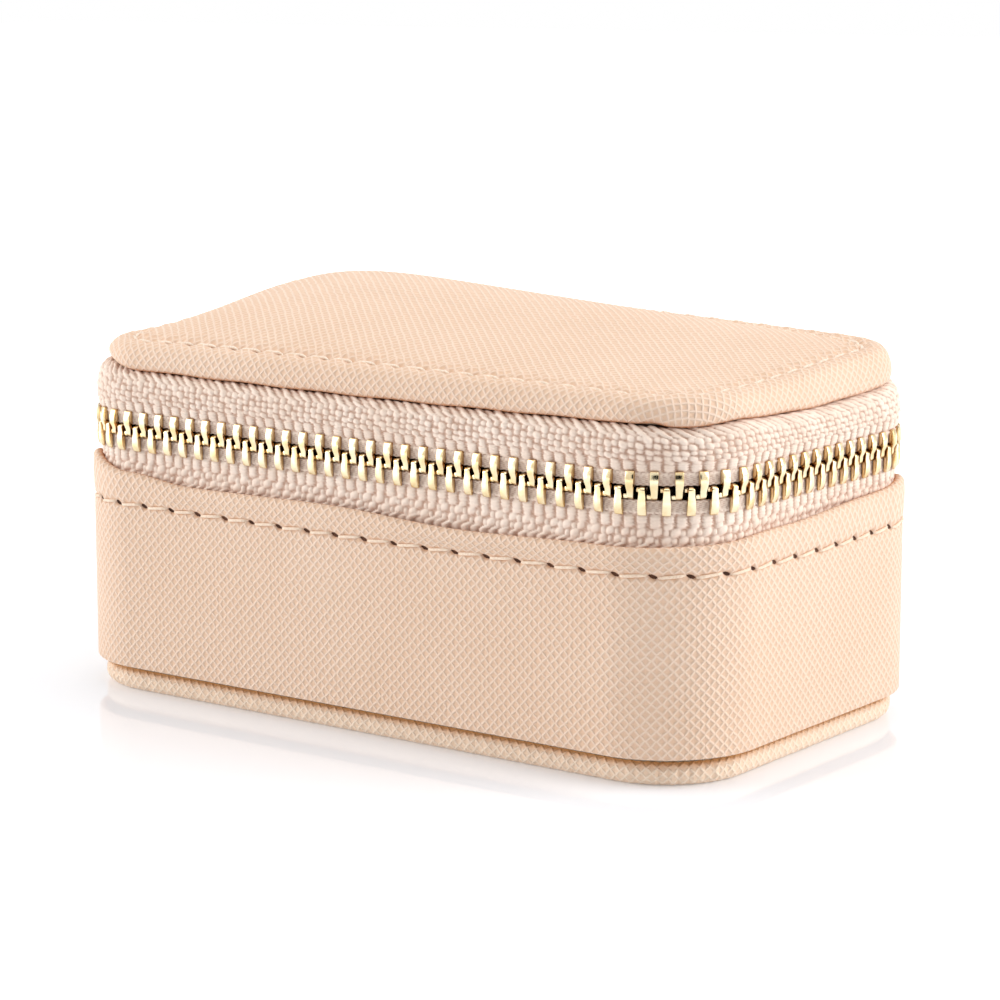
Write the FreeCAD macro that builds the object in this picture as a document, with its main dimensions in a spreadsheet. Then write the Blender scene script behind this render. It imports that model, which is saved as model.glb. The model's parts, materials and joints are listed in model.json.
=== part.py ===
import FreeCAD, Part
import math
import os
import re
import Sketcher

# Zip-around travel jewelry case: a leather-wrapped tray, a padded lid, a metal zip on three sides
# and a leather hinge strip at the back. Millimetres, +Z up, front towards -Y, origin under the middle.

SIZES = [
    ("case_width", 106.0, "width over the wall"),
    ("case_depth", 60.0, "depth over the wall"),
    ("corner_radius", 13.5, "radius of the wall's corners in plan"),
    ("skin", 1.2, "leather of the wall with its folded hem"),
    ("glue", 0.05, "glue line between layers"),
    ("board", 2.0, "stiff board inside the wall"),
    ("lining", 0.8, "velvet lining"),
    ("base_height", 3.3, "height of the base panel"),
    ("base_inset", 1.3, "base panel set in from the wall"),
    ("base_skin", 0.7, "leather of the base panel"),
    ("base_round", 1.2, "rounding of the base panel's edge"),
    ("groove_gap", 0.35, "shadow gap between base panel and wall"),
    ("wall_height", 26.75, "height of the wall"),
    ("hem_round", 0.5, "rounding of the wall's hem"),
    ("tape_thickness", 0.7, "zip tape and hinge strip"),
    ("tape_tuck", 7.0, "tape hidden below the wall's top"),
    ("board_drop", 0.6, "board and lining end below the wall's top"),
    ("chain_rise", 5.6, "zip centre above the wall's top"),
    ("lid_rise", 8.6, "lid's underside above the zip centre"),
    ("tape_edge", 0.9, "tape edge to zip centre"),
    ("shoulder", 1.4, "outer rounding where the tape turns in under the lid"),
    ("flange_reach", 4.7, "tape sewn flat under the lid"),
    ("hinge_margin", 4.5, "hinge strip ends before the corner begins"),
    ("hinge_gap", 0.4, "gap between hinge strip and tape ends"),
    ("lid_inset", 1.9, "lid set in from the wall"),
    ("lid_skin", 1.0, "leather of the lid"),
    ("lid_board", 2.0, "board inside the lid"),
    ("rim_height", 3.8, "height of the lid's rolled rim"),
    ("rim_round", 1.8, "rounding of the lid's rim"),
    ("crown_height", 7.2, "padded crown above the rim"),
    ("crown_start", 4.6, "seam where the crown begins, from the lid's edge"),
    ("crown_flat", 14.0, "depth of the crown's top"),
    ("crown_corner", 5.0, "corner radius of the crown in plan"),
    ("mirror_width", 62.0, "mirror width"),
    ("mirror_depth", 34.0, "mirror depth"),
    ("mirror_thickness", 1.2, "mirror thickness"),
    ("mirror_corner", 4.0, "mirror corner radius"),
    ("roll_width", 12.4, "width of one ring roll"),
    ("roll_height", 18.0, "height of a ring roll"),
    ("roll_corner", 3.1, "ring roll corners in plan"),
    ("roll_round", 3.0, "rounding of a ring roll's top"),
    ("first_roll_flat", 0.2, "straight end of the outer ring roll"),
    ("roll_gap", 0.3, "slit between ring rolls"),
    ("divider", 1.6, "thickness of a divider"),
    ("divider_height", 19.0, "height of the divider"),
    ("cross_height", 17.0, "height of the cross divider"),
    ("tooth_pitch", 2.82, "zip tooth pitch along one tape"),
    ("tooth_clearance", 0.3, "play between meshed teeth"),
    ("tooth_leg", 2.75, "zip centre to the outer end of a tooth"),
    ("tooth_reach", 0.8, "tooth head past the zip centre"),
    ("tooth_proud", 0.95, "tooth thickness on each face of the tape"),
    ("tooth_chamfer", 0.3, "chamfer of a tooth head"),
    ("chain_wrap", 46.0, "degrees of the back right corner that the teeth go round"),
    ("stop_width", 1.8, "length of a zip stop along the tape"),
    ("stop_leg", 2.4, "zip centre to the outer end of a stop"),
    ("stop_gap", 0.4, "zip stop to the parked slider or the last tooth"),
    ("run_margin", 1.0, "slider to each end of its straight run"),
    ("slider_length", 11.0, "slider length along the zip"),
    ("slider_half", 4.1, "half the slider's height"),
    ("slider_play", 0.25, "slider to teeth and tape"),
    ("slider_plate", 1.0, "slider plate thickness"),
    ("wedge_half", 0.7, "half height of the slider's wedge"),
    ("wedge_length", 3.0, "length of the slider's wedge"),
    ("bar_radius", 0.6, "bridge bar that carries the pull"),
    ("bar_stand", 2.2, "bar centre out from the slider's face"),
    ("bridge_leg", 1.3, "bridge leg along the zip"),
    ("bridge_half", 0.9, "half height of a bridge leg"),
    ("eye_width", 4.4, "width of the pull's eye"),
    ("eye_play", 0.1, "eye bore to bar, radial"),
    ("eye_side_play", 0.15, "eye to bridge leg"),
    ("eye_wall", 0.8, "wall of the pull's eye"),
    ("pull_neck", 2.6, "bar centre to the pull's wide blade"),
    ("pull_length", 19.0, "length of the wide blade"),
    ("pull_width", 6.4, "width of the blade"),
    ("pull_thickness", 1.2, "thickness of the pull"),
]

ROLLS = 4
CROWN_STEPS = (0.0, 0.35, 0.65, 1.0)

# Insets of the nested outlines, from the outer face of the wall.
INSETS = [
    ("wall", "0"),
    ("wall_inner", "skin"),
    ("board_outer", "skin + glue"),
    ("tape_outer", "skin + glue"),
    ("tape_inner", "skin + glue + tape_thickness"),
    ("rebate", "skin + 2 * glue + tape_thickness"),
    ("board_inner", "skin + glue + board"),
    ("lining_outer", "skin + 2 * glue + board"),
    ("tray", "skin + 2 * glue + board + lining"),
    ("flange", "skin + glue + flange_reach"),
    ("lid_lining", "skin + 2 * glue + flange_reach"),
    ("base", "base_inset"),
    ("base_hollow", "base_inset + base_skin"),
    ("base_board", "base_inset + base_skin + glue"),
    ("lid", "lid_inset"),
    ("lid_hollow", "lid_inset + lid_skin"),
    ("lid_filling", "lid_inset + lid_skin + glue"),
    ("chain", "skin + glue + tape_thickness / 2"),
]

# Heights and places that follow from the sizes.
PLACES = [
    ("ground", "0"),
    ("tray_floor", "base_height + glue + lining"),
    ("wall_bottom", "base_height + groove_gap"),
    ("wall_top", "base_height + groove_gap + wall_height"),
    ("tape_bottom", "wall_top - tape_tuck"),
    ("board_top", "wall_top - board_drop"),
    ("chain_z", "wall_top + chain_rise"),
    ("lid_z", "chain_z + lid_rise"),
    ("lid_bottom", "lid_z + glue"),
    ("flange_bottom", "lid_z - tape_thickness"),
    ("rim_top", "lid_bottom + rim_height"),
    ("roll_top", "tray_floor + glue + roll_height"),
    ("hinge_length", "case_width - 2 * corner_radius - 2 * hinge_margin"),
    ("side_run", "case_depth - 2 * corner_radius"),
    ("first_roll_width", "tray_radius - roll_gap + roll_corner + first_roll_flat"),
    ("first_roll_radius", "tray_radius - roll_gap"),
    ("roll_length", "tray_depth - 2 * roll_gap"),
    ("divider_x", "first_roll_width + (ROLLS - 1) * roll_width + (ROLLS + 1) * roll_gap"
                  " + divider / 2 - tray_width / 2"),
    ("divider_length", "tray_depth - 2 * glue"),
    ("cross_length", "tray_width / 2 - divider_x - divider / 2 - 2 * glue"),
    ("slider_inner", "tape_thickness / 2 + tooth_proud + slider_play"),
    ("slider_outer", "slider_inner + slider_plate"),
    ("slider_x", "-chain_width / 2"),
    ("slider_y", "side_run / 2 - run_margin - slider_length / 2"),
    ("bar_x", "slider_x - slider_outer - bar_stand"),
    ("bar_length", "eye_width + 2 * eye_side_play + 2 * bridge_leg"),
    ("eye_bore", "bar_radius + eye_play"),
    ("eye_radius", "bar_radius + eye_play + eye_wall"),
]

doc = FreeCAD.newDocument("jewelry_case")
sizes = doc.addObject("Spreadsheet::Sheet", "sizes")
derived = doc.addObject("Spreadsheet::Sheet", "derived")
owner = {}


def bound(text):
    """The expression with every named size or place written as its sheet cell."""
    return re.sub(r"[a-z_][a-z_0-9]*", lambda m: f"{owner[m[0]]}.{m[0]}" if m[0] in owner else m[0], text)


def number(name):
    return float(getattr(sizes if owner[name] == "sizes" else derived, name))


def fill_sheets():
    for row, (name, value, note) in enumerate(SIZES, 1):
        sizes.set(f"A{row}", note)
        sizes.set(f"B{row}", str(value))
        sizes.setAlias(f"B{row}", name)
        owner[name] = "sizes"
    doc.recompute()
    places = []
    for name, inset in INSETS:
        places.append((f"{name}_width", f"case_width - 2 * ({inset})"))
        places.append((f"{name}_depth", f"case_depth - 2 * ({inset})"))
        places.append((f"{name}_radius", f"corner_radius - ({inset})"))
    places += [(name, text.replace("ROLLS", str(ROLLS))) for name, text in PLACES]
    for step, share in enumerate(CROWN_STEPS):
        inset = f"(crown_start + {share} * ((lid_depth - crown_flat) / 2 - crown_start))"
        swell = math.sin(share * math.pi / 2) ** 2
        places.append((f"crown_{step}_width", f"lid_width - 2 * {inset}"))
        places.append((f"crown_{step}_depth", f"lid_depth - 2 * {inset}"))
        places.append((f"crown_{step}_rise", f"crown_height * {swell:.4f}"))
    for row, (name, text) in enumerate(places, 1):
        derived.set(f"B{row}", "=" + bound(text))
        derived.setAlias(f"B{row}", name)
        owner[name] = "derived"
    doc.recompute()


fill_sheets()
nodes = []


def new_body(name):
    body = doc.addObject("PartDesign::Body", name)
    body.Label = name
    nodes.append(body)
    return body


def place(thing, **coordinates):
    for axis, text in coordinates.items():
        thing.setExpression(f"Placement.Base.{axis}", bound(text))


def new_sketch(body, name, level="0", across="0", along="0"):
    """A horizontal sketch at a height, shifted in plan."""
    sketch = body.newObject("Sketcher::SketchObject", f"{body.Name}_{name}")
    plane = next(f for f in body.Origin.OriginFeatures if f.Role == "XY_Plane")
    sketch.AttachmentSupport = (plane, [""])
    sketch.MapMode = "FlatFace"
    for axis, text in (("x", across), ("y", along), ("z", level)):
        sketch.setExpression(f"AttachmentOffset.Base.{axis}", bound(text))
    return sketch


def bind(sketch, kind, *picks, text):
    """A dimension of the sketch that follows an expression; text is (expression, present value)."""
    expression, value = text
    index = sketch.addConstraint(Sketcher.Constraint(kind, *picks, value))
    sketch.setExpression(f"Constraints[{index}]", bound(expression))


def rounded(sketch, width, depth, left, right=None):
    """A rectangle about the sketch's origin whose left and right corners have the named radii."""
    right = right or left
    half_w, half_d = number(width) / 2, number(depth) / 2
    r_left, r_right = number(left), number(right)
    vector = FreeCAD.Vector
    corners = [
        (half_w - r_right, r_right - half_d, r_right, -90),
        (half_w - r_right, half_d - r_right, r_right, 0),
        (r_left - half_w, half_d - r_left, r_left, 90),
        (r_left - half_w, r_left - half_d, r_left, 180),
    ]
    arcs, lines = [], []
    for x, y, radius, start in corners:
        circle = Part.Circle(vector(x, y, 0), vector(0, 0, 1), radius)
        arc = Part.ArcOfCircle(circle, math.radians(start), math.radians(start + 90))
        arcs.append(sketch.addGeometry(arc))
    ends = [(sketch.Geometry[a].StartPoint, sketch.Geometry[a].EndPoint) for a in arcs]
    for here in range(4):
        lines.append(sketch.addGeometry(Part.LineSegment(ends[here - 1][1], ends[here][0])))
    for here in range(4):
        sketch.addConstraint(Sketcher.Constraint("Tangent", lines[here], 2, arcs[here], 1))
        sketch.addConstraint(Sketcher.Constraint("Tangent", arcs[here - 1], 2, lines[here], 1))
    for here in (0, 2):
        sketch.addConstraint(Sketcher.Constraint("Horizontal", lines[here]))
        sketch.addConstraint(Sketcher.Constraint("Vertical", lines[here + 1]))
    sketch.addConstraint(Sketcher.Constraint("Equal", arcs[0], arcs[1]))
    sketch.addConstraint(Sketcher.Constraint("Equal", arcs[2], arcs[3]))
    bind(sketch, "Radius", arcs[0], text=(right, r_right))
    bind(sketch, "Radius", arcs[2], text=(left, r_left))
    bind(sketch, "DistanceX", -1, 1, lines[1], 1, text=(f"{width} / 2", half_w))
    bind(sketch, "DistanceX", lines[3], 1, -1, 1, text=(f"{width} / 2", half_w))
    bind(sketch, "DistanceY", -1, 1, lines[2], 1, text=(f"{depth} / 2", half_d))
    bind(sketch, "DistanceY", lines[0], 1, -1, 1, text=(f"{depth} / 2", half_d))


def outline(sketch, name):
    rounded(sketch, f"{name}_width", f"{name}_depth", f"{name}_radius")


def pad(body, sketch, length):
    feature = body.newObject("PartDesign::Pad", f"{sketch.Name}_pad")
    feature.Profile = sketch
    feature.setExpression("Length", bound(length))
    return feature


def slab(body, name, level, length, *outlines):
    """A plate, or a ring between two outlines, standing on a level."""
    sketch = new_sketch(body, name, level)
    for each in outlines:
        outline(sketch, each)
    return pad(body, sketch, length)


def rectangle(sketch, width, depth):
    """A plain rectangle about the sketch's origin; the sizes are expressions with their present values."""
    half_w, half_d = width[1] / 2, depth[1] / 2
    points = [(-half_w, -half_d), (half_w, -half_d), (half_w, half_d), (-half_w, half_d)]
    corners = [FreeCAD.Vector(x, y, 0) for x, y in points]
    sides = [sketch.addGeometry(Part.LineSegment(corners[i], corners[(i + 1) % 4])) for i in range(4)]
    for i in range(4):
        sketch.addConstraint(Sketcher.Constraint("Coincident", sides[i], 2, sides[(i + 1) % 4], 1))
    for i in (0, 2):
        sketch.addConstraint(Sketcher.Constraint("Horizontal", sides[i]))
        sketch.addConstraint(Sketcher.Constraint("Vertical", sides[i + 1]))
    sketch.addConstraint(Sketcher.Constraint("Symmetric", sides[0], 1, sides[1], 2, -1, 1))
    bind(sketch, "DistanceX", sides[0], 1, sides[0], 2, text=width)
    bind(sketch, "DistanceY", sides[1], 1, sides[1], 2, text=depth)


def total(text):
    """A sum of named sizes, each with a factor, as an expression and its present value."""
    value = sum(factor * number(name) for factor, name in text)
    return " + ".join(f"{factor} * {name}" for factor, name in text), value


def bar(body, name, level, length, width, depth, across="0", along="0"):
    """A plain upright block of the body."""
    sketch = new_sketch(body, name, level, across, along)
    rectangle(sketch, total(width), total(depth))
    return pad(body, sketch, length)


def cut(body, sketch, length, upward=False):
    doc.recompute()
    before = body.Shape.Volume
    pocket = body.newObject("PartDesign::Pocket", f"{sketch.Name}_pocket")
    pocket.Profile = sketch
    pocket.Reversed = upward
    pocket.setExpression("Length", bound(length))
    doc.recompute()
    if not body.Shape.Volume < before:
        raise ValueError(f"{pocket.Name} cuts nothing")
    return pocket


def soften(body, name, radius, *levels, chosen=None):
    """Rounds the level edges of the body that lie at the given heights."""
    doc.recompute()
    base = body.Tip
    heights = [number(level) for level in levels]
    picked = []
    for index, edge in enumerate(base.Shape.Edges, 1):
        box = edge.BoundBox
        flat = box.ZLength < 1e-6 and any(abs(box.ZMin - z) < 1e-6 for z in heights)
        if flat and (chosen is None or chosen(edge)):
            picked.append(f"Edge{index}")
    fillet = body.newObject("PartDesign::Fillet", f"{body.Name}_{name}")
    fillet.Base = (base, picked)
    fillet.setExpression("Radius", bound(radius))
    return fillet


def crown(body, name, kind, start):
    """The padded crown as a loft of rounded outlines above a starting height."""
    sections = []
    for step in range(len(CROWN_STEPS)):
        sketch = new_sketch(body, f"{name}_{step}", f"{start} + crown_{step}_rise")
        rounded(sketch, f"crown_{step}_width", f"crown_{step}_depth", "crown_corner")
        sections.append(sketch)
    doc.recompute()
    loft = body.newObject(kind, f"{body.Name}_{name}")
    loft.Profile = sections[0]
    loft.Sections = sections[1:]
    loft.Ruled = True
    return loft


def make_base():
    cover = new_body("base_cover")
    slab(cover, "block", "ground", "base_height", "base")
    soften(cover, "edge", "base_round", "ground", "base_height")
    hollow = new_sketch(cover, "hollow", "base_height")
    outline(hollow, "base_hollow")
    cut(cover, hollow, "base_height - base_skin")
    board = new_body("base_board")
    slab(board, "plate", "base_skin + glue", "base_height - base_skin - glue", "base_board")


def make_wall():
    leather = new_body("wall_leather")
    slab(leather, "ring", "wall_bottom", "wall_height", "wall", "wall_inner")
    soften(leather, "hem", "hem_round", "wall_top")
    board = new_body("wall_board")
    slab(board, "foot", "base_height + glue", "tape_bottom - glue - base_height - glue",
         "board_outer", "board_inner")
    slab(board, "rebate", "tape_bottom - glue", "board_top - tape_bottom + glue", "rebate", "board_inner")


def make_tray():
    lining = new_body("tray_lining")
    slab(lining, "floor", "base_height + glue", "lining", "lining_outer")
    slab(lining, "sides", "tray_floor", "board_top - tray_floor", "lining_outer", "tray")
    right_edge = "-tray_width / 2"
    for index in range(ROLLS):
        roll = new_body(f"ring_roll_{index + 1}")
        width = "roll_width" if index else "first_roll_width"
        place(roll, x=f"{right_edge} + roll_gap + {width} / 2")
        right_edge += f" + roll_gap + {width}"
        sketch = new_sketch(roll, "plan", "tray_floor + glue")
        rounded(sketch, width, "roll_length", "roll_corner" if index else "first_roll_radius", "roll_corner")
        pad(roll, sketch, "roll_height")
        soften(roll, "top", "roll_round", "roll_top")
    divider = new_body("divider_wall")
    place(divider, x="divider_x")
    bar(divider, "plate", "tray_floor + glue", "divider_height", [(1, "divider")], [(1, "divider_length")])
    cross = new_body("cross_divider")
    place(cross, x="divider_x + divider / 2 + glue + cross_length / 2")
    bar(cross, "plate", "tray_floor + glue", "cross_height", [(1, "cross_length")], [(1, "divider")])


def open_back(body, bottom):
    """Leaves the straight back free for the hinge strip."""
    gap = new_sketch(body, "back", "lid_z + tape_thickness", along="case_depth / 2")
    width = total([(1, "hinge_length"), (2, "hinge_gap")])
    rectangle(gap, width, total([(2, "flange_reach"), (4, "skin")]))
    cut(body, gap, f"lid_z + 2 * tape_thickness - {bottom}")


def turned_in(body, bottom, level):
    """Rounds the shoulder where tape turns in under the lid, and hollows the band below it."""
    soften(body, "shoulder", "shoulder", "lid_z")
    hollow = new_sketch(body, "hollow", bottom)
    outline(hollow, "tape_inner")
    cut(body, hollow, f"lid_z - tape_thickness - ({bottom})", upward=True)
    soften(body, "inner_shoulder", "shoulder - tape_thickness", level)
    window = new_sketch(body, "window", "lid_z + tape_thickness")
    outline(window, "flange")
    cut(body, window, "3 * tape_thickness")


def make_tapes():
    lower = new_body("tape_lower")
    slab(lower, "band", "tape_bottom", "chain_z - tape_edge - tape_bottom", "tape_outer", "tape_inner")
    open_back(lower, "tape_bottom")
    upper = new_body("tape_upper")
    bottom = "chain_z + tape_edge"
    slab(upper, "band", bottom, "lid_rise - tape_edge", "tape_outer")
    turned_in(upper, bottom, "flange_bottom")
    open_back(upper, bottom)


def make_hinge():
    strip = new_body("hinge_strip")
    place(strip, y="chain_depth / 2")
    length = [(1, "hinge_length")]
    bar(strip, "band", "tape_bottom", "lid_z - tape_bottom", length, [(1, "tape_thickness")])
    bar(strip, "flange", "lid_z - tape_thickness", "tape_thickness", length, [(1, "flange_reach")],
        along="tape_thickness / 2 - flange_reach / 2")
    face = number("tape_thickness") / 2

    def at_depth(y):
        return lambda edge: abs(edge.BoundBox.YMin - y) < 1e-6 and abs(edge.BoundBox.YMax - y) < 1e-6

    soften(strip, "shoulder", "shoulder", "lid_z", chosen=at_depth(face))
    soften(strip, "inner_shoulder", "shoulder - tape_thickness", "flange_bottom", chosen=at_depth(-face))


def make_lid():
    cover = new_body("lid_cover")
    slab(cover, "rim", "lid_bottom", "rim_height", "lid")
    soften(cover, "roll", "rim_round", "rim_top")
    crown(cover, "crown", "PartDesign::AdditiveLoft", "rim_top")
    hollow = new_sketch(cover, "hollow", "lid_bottom")
    outline(hollow, "lid_hollow")
    cut(cover, hollow, "rim_height - lid_skin", upward=True)
    crown(cover, "crown_hollow", "PartDesign::SubtractiveLoft", "rim_top - lid_skin")
    board = new_body("lid_board")
    slab(board, "plate", "lid_bottom", "lid_board", "lid_filling")
    foam = new_body("lid_foam")
    foam_top = "rim_top - lid_skin - glue"
    slab(foam, "pad", "lid_bottom + lid_board + glue", f"{foam_top} - lid_bottom - lid_board - glue",
         "lid_filling")
    crown(foam, "crown", "PartDesign::AdditiveLoft", foam_top)
    lining = new_body("lid_lining")
    slab(lining, "plate", "lid_z - lining", "lining", "lid_lining")
    mirror = new_body("lid_mirror")
    sketch = new_sketch(mirror, "plate", "lid_z - lining - glue - mirror_thickness")
    rounded(sketch, "mirror_width", "mirror_depth", "mirror_corner")
    pad(mirror, sketch, "mirror_thickness")


def chain_frame(distance):
    """Point on the zip's line and the angle of its outward normal; 0 is the back of the left run."""
    half_w, half_d = number("chain_width") / 2, number("chain_depth") / 2
    radius, side = number("chain_radius"), number("side_run")
    front = number("case_width") - 2 * number("corner_radius")
    turn = radius * math.pi / 2
    x, y = -half_w, half_d - radius
    angle = math.pi
    if distance < 0:
        angle -= -distance / radius
        return FreeCAD.Vector(x + radius + radius * math.cos(angle), y + radius * math.sin(angle), 0), angle
    for run in (side, front, side):
        straight = min(distance, run)
        x -= straight * math.sin(angle)
        y += straight * math.cos(angle)
        distance -= straight
        if distance <= 0:
            break
        bend = min(distance, turn) / radius
        centre_x, centre_y = x - radius * math.cos(angle), y - radius * math.sin(angle)
        angle += bend
        x, y = centre_x + radius * math.cos(angle), centre_y + radius * math.sin(angle)
        distance -= bend * radius
        if distance <= 0:
            break
    return FreeCAD.Vector(x, y, 0), angle


def clamp(distance, width, leg, reach, toward):
    """A solid bent round the tape's edge, as a tooth or a stop; toward is +1 for the lower tape."""
    point, angle = chain_frame(distance)
    point.z = number("chain_z")
    normal = FreeCAD.Vector(math.cos(angle), math.sin(angle), 0)
    along = FreeCAD.Vector(-math.sin(angle), math.cos(angle), 0)
    rise = FreeCAD.Vector(0, 0, toward)
    slot = number("tape_thickness") / 2 + number("glue")
    outer = number("tape_thickness") / 2 + number("tooth_proud")
    floor = number("glue") - number("tape_edge")
    chamfer = number("tooth_chamfer")
    half = [(outer - chamfer, reach), (outer, reach - chamfer), (outer, -leg), (slot, -leg), (slot, floor)]
    section = half + [(-n, w) for n, w in reversed(half)]
    start = point - along * (width / 2)
    corners = [start + normal * n + rise * w for n, w in section]
    face = Part.Face(Part.makePolygon(corners + corners[:1]))
    return face.extrude(along * width)


def add_group(name, solids):
    feature = doc.addObject("Part::Feature", name)
    feature.Label = name
    feature.Shape = Part.makeCompound(solids)
    feature.Placement = FreeCAD.Placement()
    nodes.append(feature)


def make_zip():
    pitch, side = number("tooth_pitch"), number("side_run")
    width = pitch / 2 - number("tooth_clearance")
    front = number("case_width") - 2 * number("corner_radius")
    turn = number("chain_radius") * math.pi / 2
    first = 2 * number("run_margin") + number("slider_length")
    last = 2 * side + front + 2 * turn + number("chain_radius") * math.radians(number("chain_wrap"))
    count = int((last - first) / pitch)
    leg, reach = number("tooth_leg"), number("tooth_reach")
    for tape, toward, shift in (("lower", 1, 0.25), ("upper", -1, 0.75)):
        left, rest = [], []
        for index in range(count):
            distance = first + (index + shift) * pitch
            group = left if distance + width / 2 < side else rest
            group.append(clamp(distance, width, leg, reach, toward))
        add_group(f"teeth_{tape}", rest)
        add_group(f"teeth_{tape}_left", left)
        stop = number("stop_width")
        behind = number("run_margin") - number("stop_gap") - stop / 2
        floor = -number("wedge_half")
        add_group(f"top_stop_{tape}", [clamp(behind, stop, number("stop_leg"), floor, toward)])
    end = first + count * pitch + number("stop_gap") + number("stop_width") / 2
    add_group("bottom_stop", [clamp(end, number("stop_width"), leg, 0.0, 1)])


def make_slider():
    body = new_body("slider_body")
    place(body, x="slider_x", y="slider_y", z="chain_z")
    bar(body, "wedge", "-wedge_half", "2 * wedge_half", [(2, "slider_inner")], [(1, "wedge_length")],
        along="(slider_length - wedge_length) / 2")
    long = [(1, "slider_length")]
    plate = [(1, "slider_plate")]
    slot = "(tape_thickness / 2 + slider_play)"
    lip = [(1, "slider_outer"), (-0.5, "tape_thickness"), (-1, "slider_play")]
    inside = "(tooth_leg + slider_play)"
    for name, side in (("front", "-1"), ("back", "1")):
        bar(body, f"{name}_plate", "-slider_half", "2 * slider_half", plate, long,
            across=f"{side} * (slider_inner + slider_plate / 2)")
        for edge, level in (("low", "-slider_half"), ("high", inside)):
            bar(body, f"{name}_{edge}_lip", level, f"slider_half - {inside}", lip, long,
                across=f"{side} * (slider_outer + {slot}) / 2")


def primitive(kind, name, **sizes_of):
    thing = doc.addObject(kind, name)
    for prop, text in sizes_of.items():
        thing.setExpression(prop, bound(text))
    return thing


def lying_bar(name, radius, length):
    """A round bar along Y on the pull's axis."""
    thing = primitive("Part::Cylinder", name, Radius=radius, Height=length)
    thing.Placement = FreeCAD.Placement(FreeCAD.Vector(), FreeCAD.Rotation(FreeCAD.Vector(1, 0, 0), -90))
    place(thing, x="bar_x", y=f"slider_y - ({length}) / 2", z="chain_z")
    return thing


def block(name, x, y, z, length, width, height):
    thing = primitive("Part::Box", name, Length=length, Width=width, Height=height)
    place(thing, x=x, y=y, z=z)
    return thing


def make_bridge():
    parts = [lying_bar("bridge_bar", "bar_radius", "bar_length")]
    for name, start in (("bridge_leg_front", "slider_y - bar_length / 2"),
                        ("bridge_leg_back", "slider_y + bar_length / 2 - bridge_leg")):
        parts.append(block(name, "bar_x", start, "chain_z - bridge_half",
                           "bar_stand", "bridge_leg", "2 * bridge_half"))
    bridge = doc.addObject("Part::MultiFuse", "slider_bridge")
    bridge.Shapes = parts
    bridge.Label = "slider_bridge"
    nodes.append(bridge)


def make_pull():
    eye = lying_bar("pull_eye", "eye_radius", "eye_width")
    neck = block("pull_neck_block", "bar_x - pull_thickness / 2", "slider_y - eye_width / 2",
                 "chain_z - pull_neck - pull_thickness", "pull_thickness", "eye_width",
                 "pull_neck + pull_thickness")
    blade = block("pull_blade", "bar_x - pull_thickness / 2", "slider_y - pull_width / 2",
                  "chain_z - pull_neck - pull_length", "pull_thickness", "pull_width", "pull_length")
    tip = primitive("Part::Cylinder", "pull_tip", Radius="pull_width / 2", Height="pull_thickness")
    tip.Placement = FreeCAD.Placement(FreeCAD.Vector(), FreeCAD.Rotation(FreeCAD.Vector(0, 1, 0), 90))
    place(tip, x="bar_x - pull_thickness / 2", y="slider_y", z="chain_z - pull_neck - pull_length")
    solid = doc.addObject("Part::MultiFuse", "pull_solid")
    solid.Shapes = [eye, neck, blade, tip]
    pull = doc.addObject("Part::Cut", "pull_tab")
    pull.Base = solid
    pull.Tool = lying_bar("pull_bore", "eye_bore", "2 * eye_width")
    pull.Label = "pull_tab"
    nodes.append(pull)


def write_parts():
    doc.recompute()
    for thing in doc.Objects:
        if "Invalid" in thing.State or "Error" in thing.State:
            raise ValueError(f"{thing.Name} failed: {thing.State}")
    for node in nodes:
        if node.Shape.isNull() or not node.Shape.isValid():
            raise ValueError(f"{node.Label} has no valid shape")
    os.makedirs("parts", exist_ok=True)
    for node in nodes:
        node.Shape.exportStep(f"parts/{node.Label}.step")


make_base()
make_wall()
make_tray()
make_tapes()
make_hinge()
make_lid()
make_zip()
make_slider()
make_bridge()
make_pull()
write_parts()
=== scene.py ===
import json
import math

import bmesh
import bpy
import numpy as np
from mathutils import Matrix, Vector


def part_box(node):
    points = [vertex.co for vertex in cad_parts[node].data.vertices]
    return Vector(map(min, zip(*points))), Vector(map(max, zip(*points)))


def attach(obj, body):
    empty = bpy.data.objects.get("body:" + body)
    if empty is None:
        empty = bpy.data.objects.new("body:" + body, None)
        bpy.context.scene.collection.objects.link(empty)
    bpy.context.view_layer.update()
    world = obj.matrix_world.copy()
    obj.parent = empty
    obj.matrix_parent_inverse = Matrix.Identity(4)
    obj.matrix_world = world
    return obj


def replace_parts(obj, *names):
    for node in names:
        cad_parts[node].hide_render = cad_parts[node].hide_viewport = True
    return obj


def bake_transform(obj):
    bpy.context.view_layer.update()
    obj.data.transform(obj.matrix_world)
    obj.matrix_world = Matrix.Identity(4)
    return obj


# Zip-around travel jewelry case in embossed leather. Shapes are worked out in millimetres
# in the frame's axes: +X to the right, -Y to the front, +Z up.

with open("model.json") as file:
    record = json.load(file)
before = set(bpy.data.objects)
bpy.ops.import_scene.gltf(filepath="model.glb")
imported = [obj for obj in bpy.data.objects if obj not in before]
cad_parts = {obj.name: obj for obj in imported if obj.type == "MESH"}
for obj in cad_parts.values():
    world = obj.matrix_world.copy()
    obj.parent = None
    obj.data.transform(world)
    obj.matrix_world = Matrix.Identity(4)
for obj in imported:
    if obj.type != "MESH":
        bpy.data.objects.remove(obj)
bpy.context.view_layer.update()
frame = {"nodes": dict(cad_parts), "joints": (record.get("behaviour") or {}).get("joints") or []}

MM = 0.001
QUARTER = math.pi / 2


def corners(node):
    """Lowest and highest corner of a node of the frame, in millimetres."""
    low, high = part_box(node)
    return np.array(low) / MM, np.array(high) / MM


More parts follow.
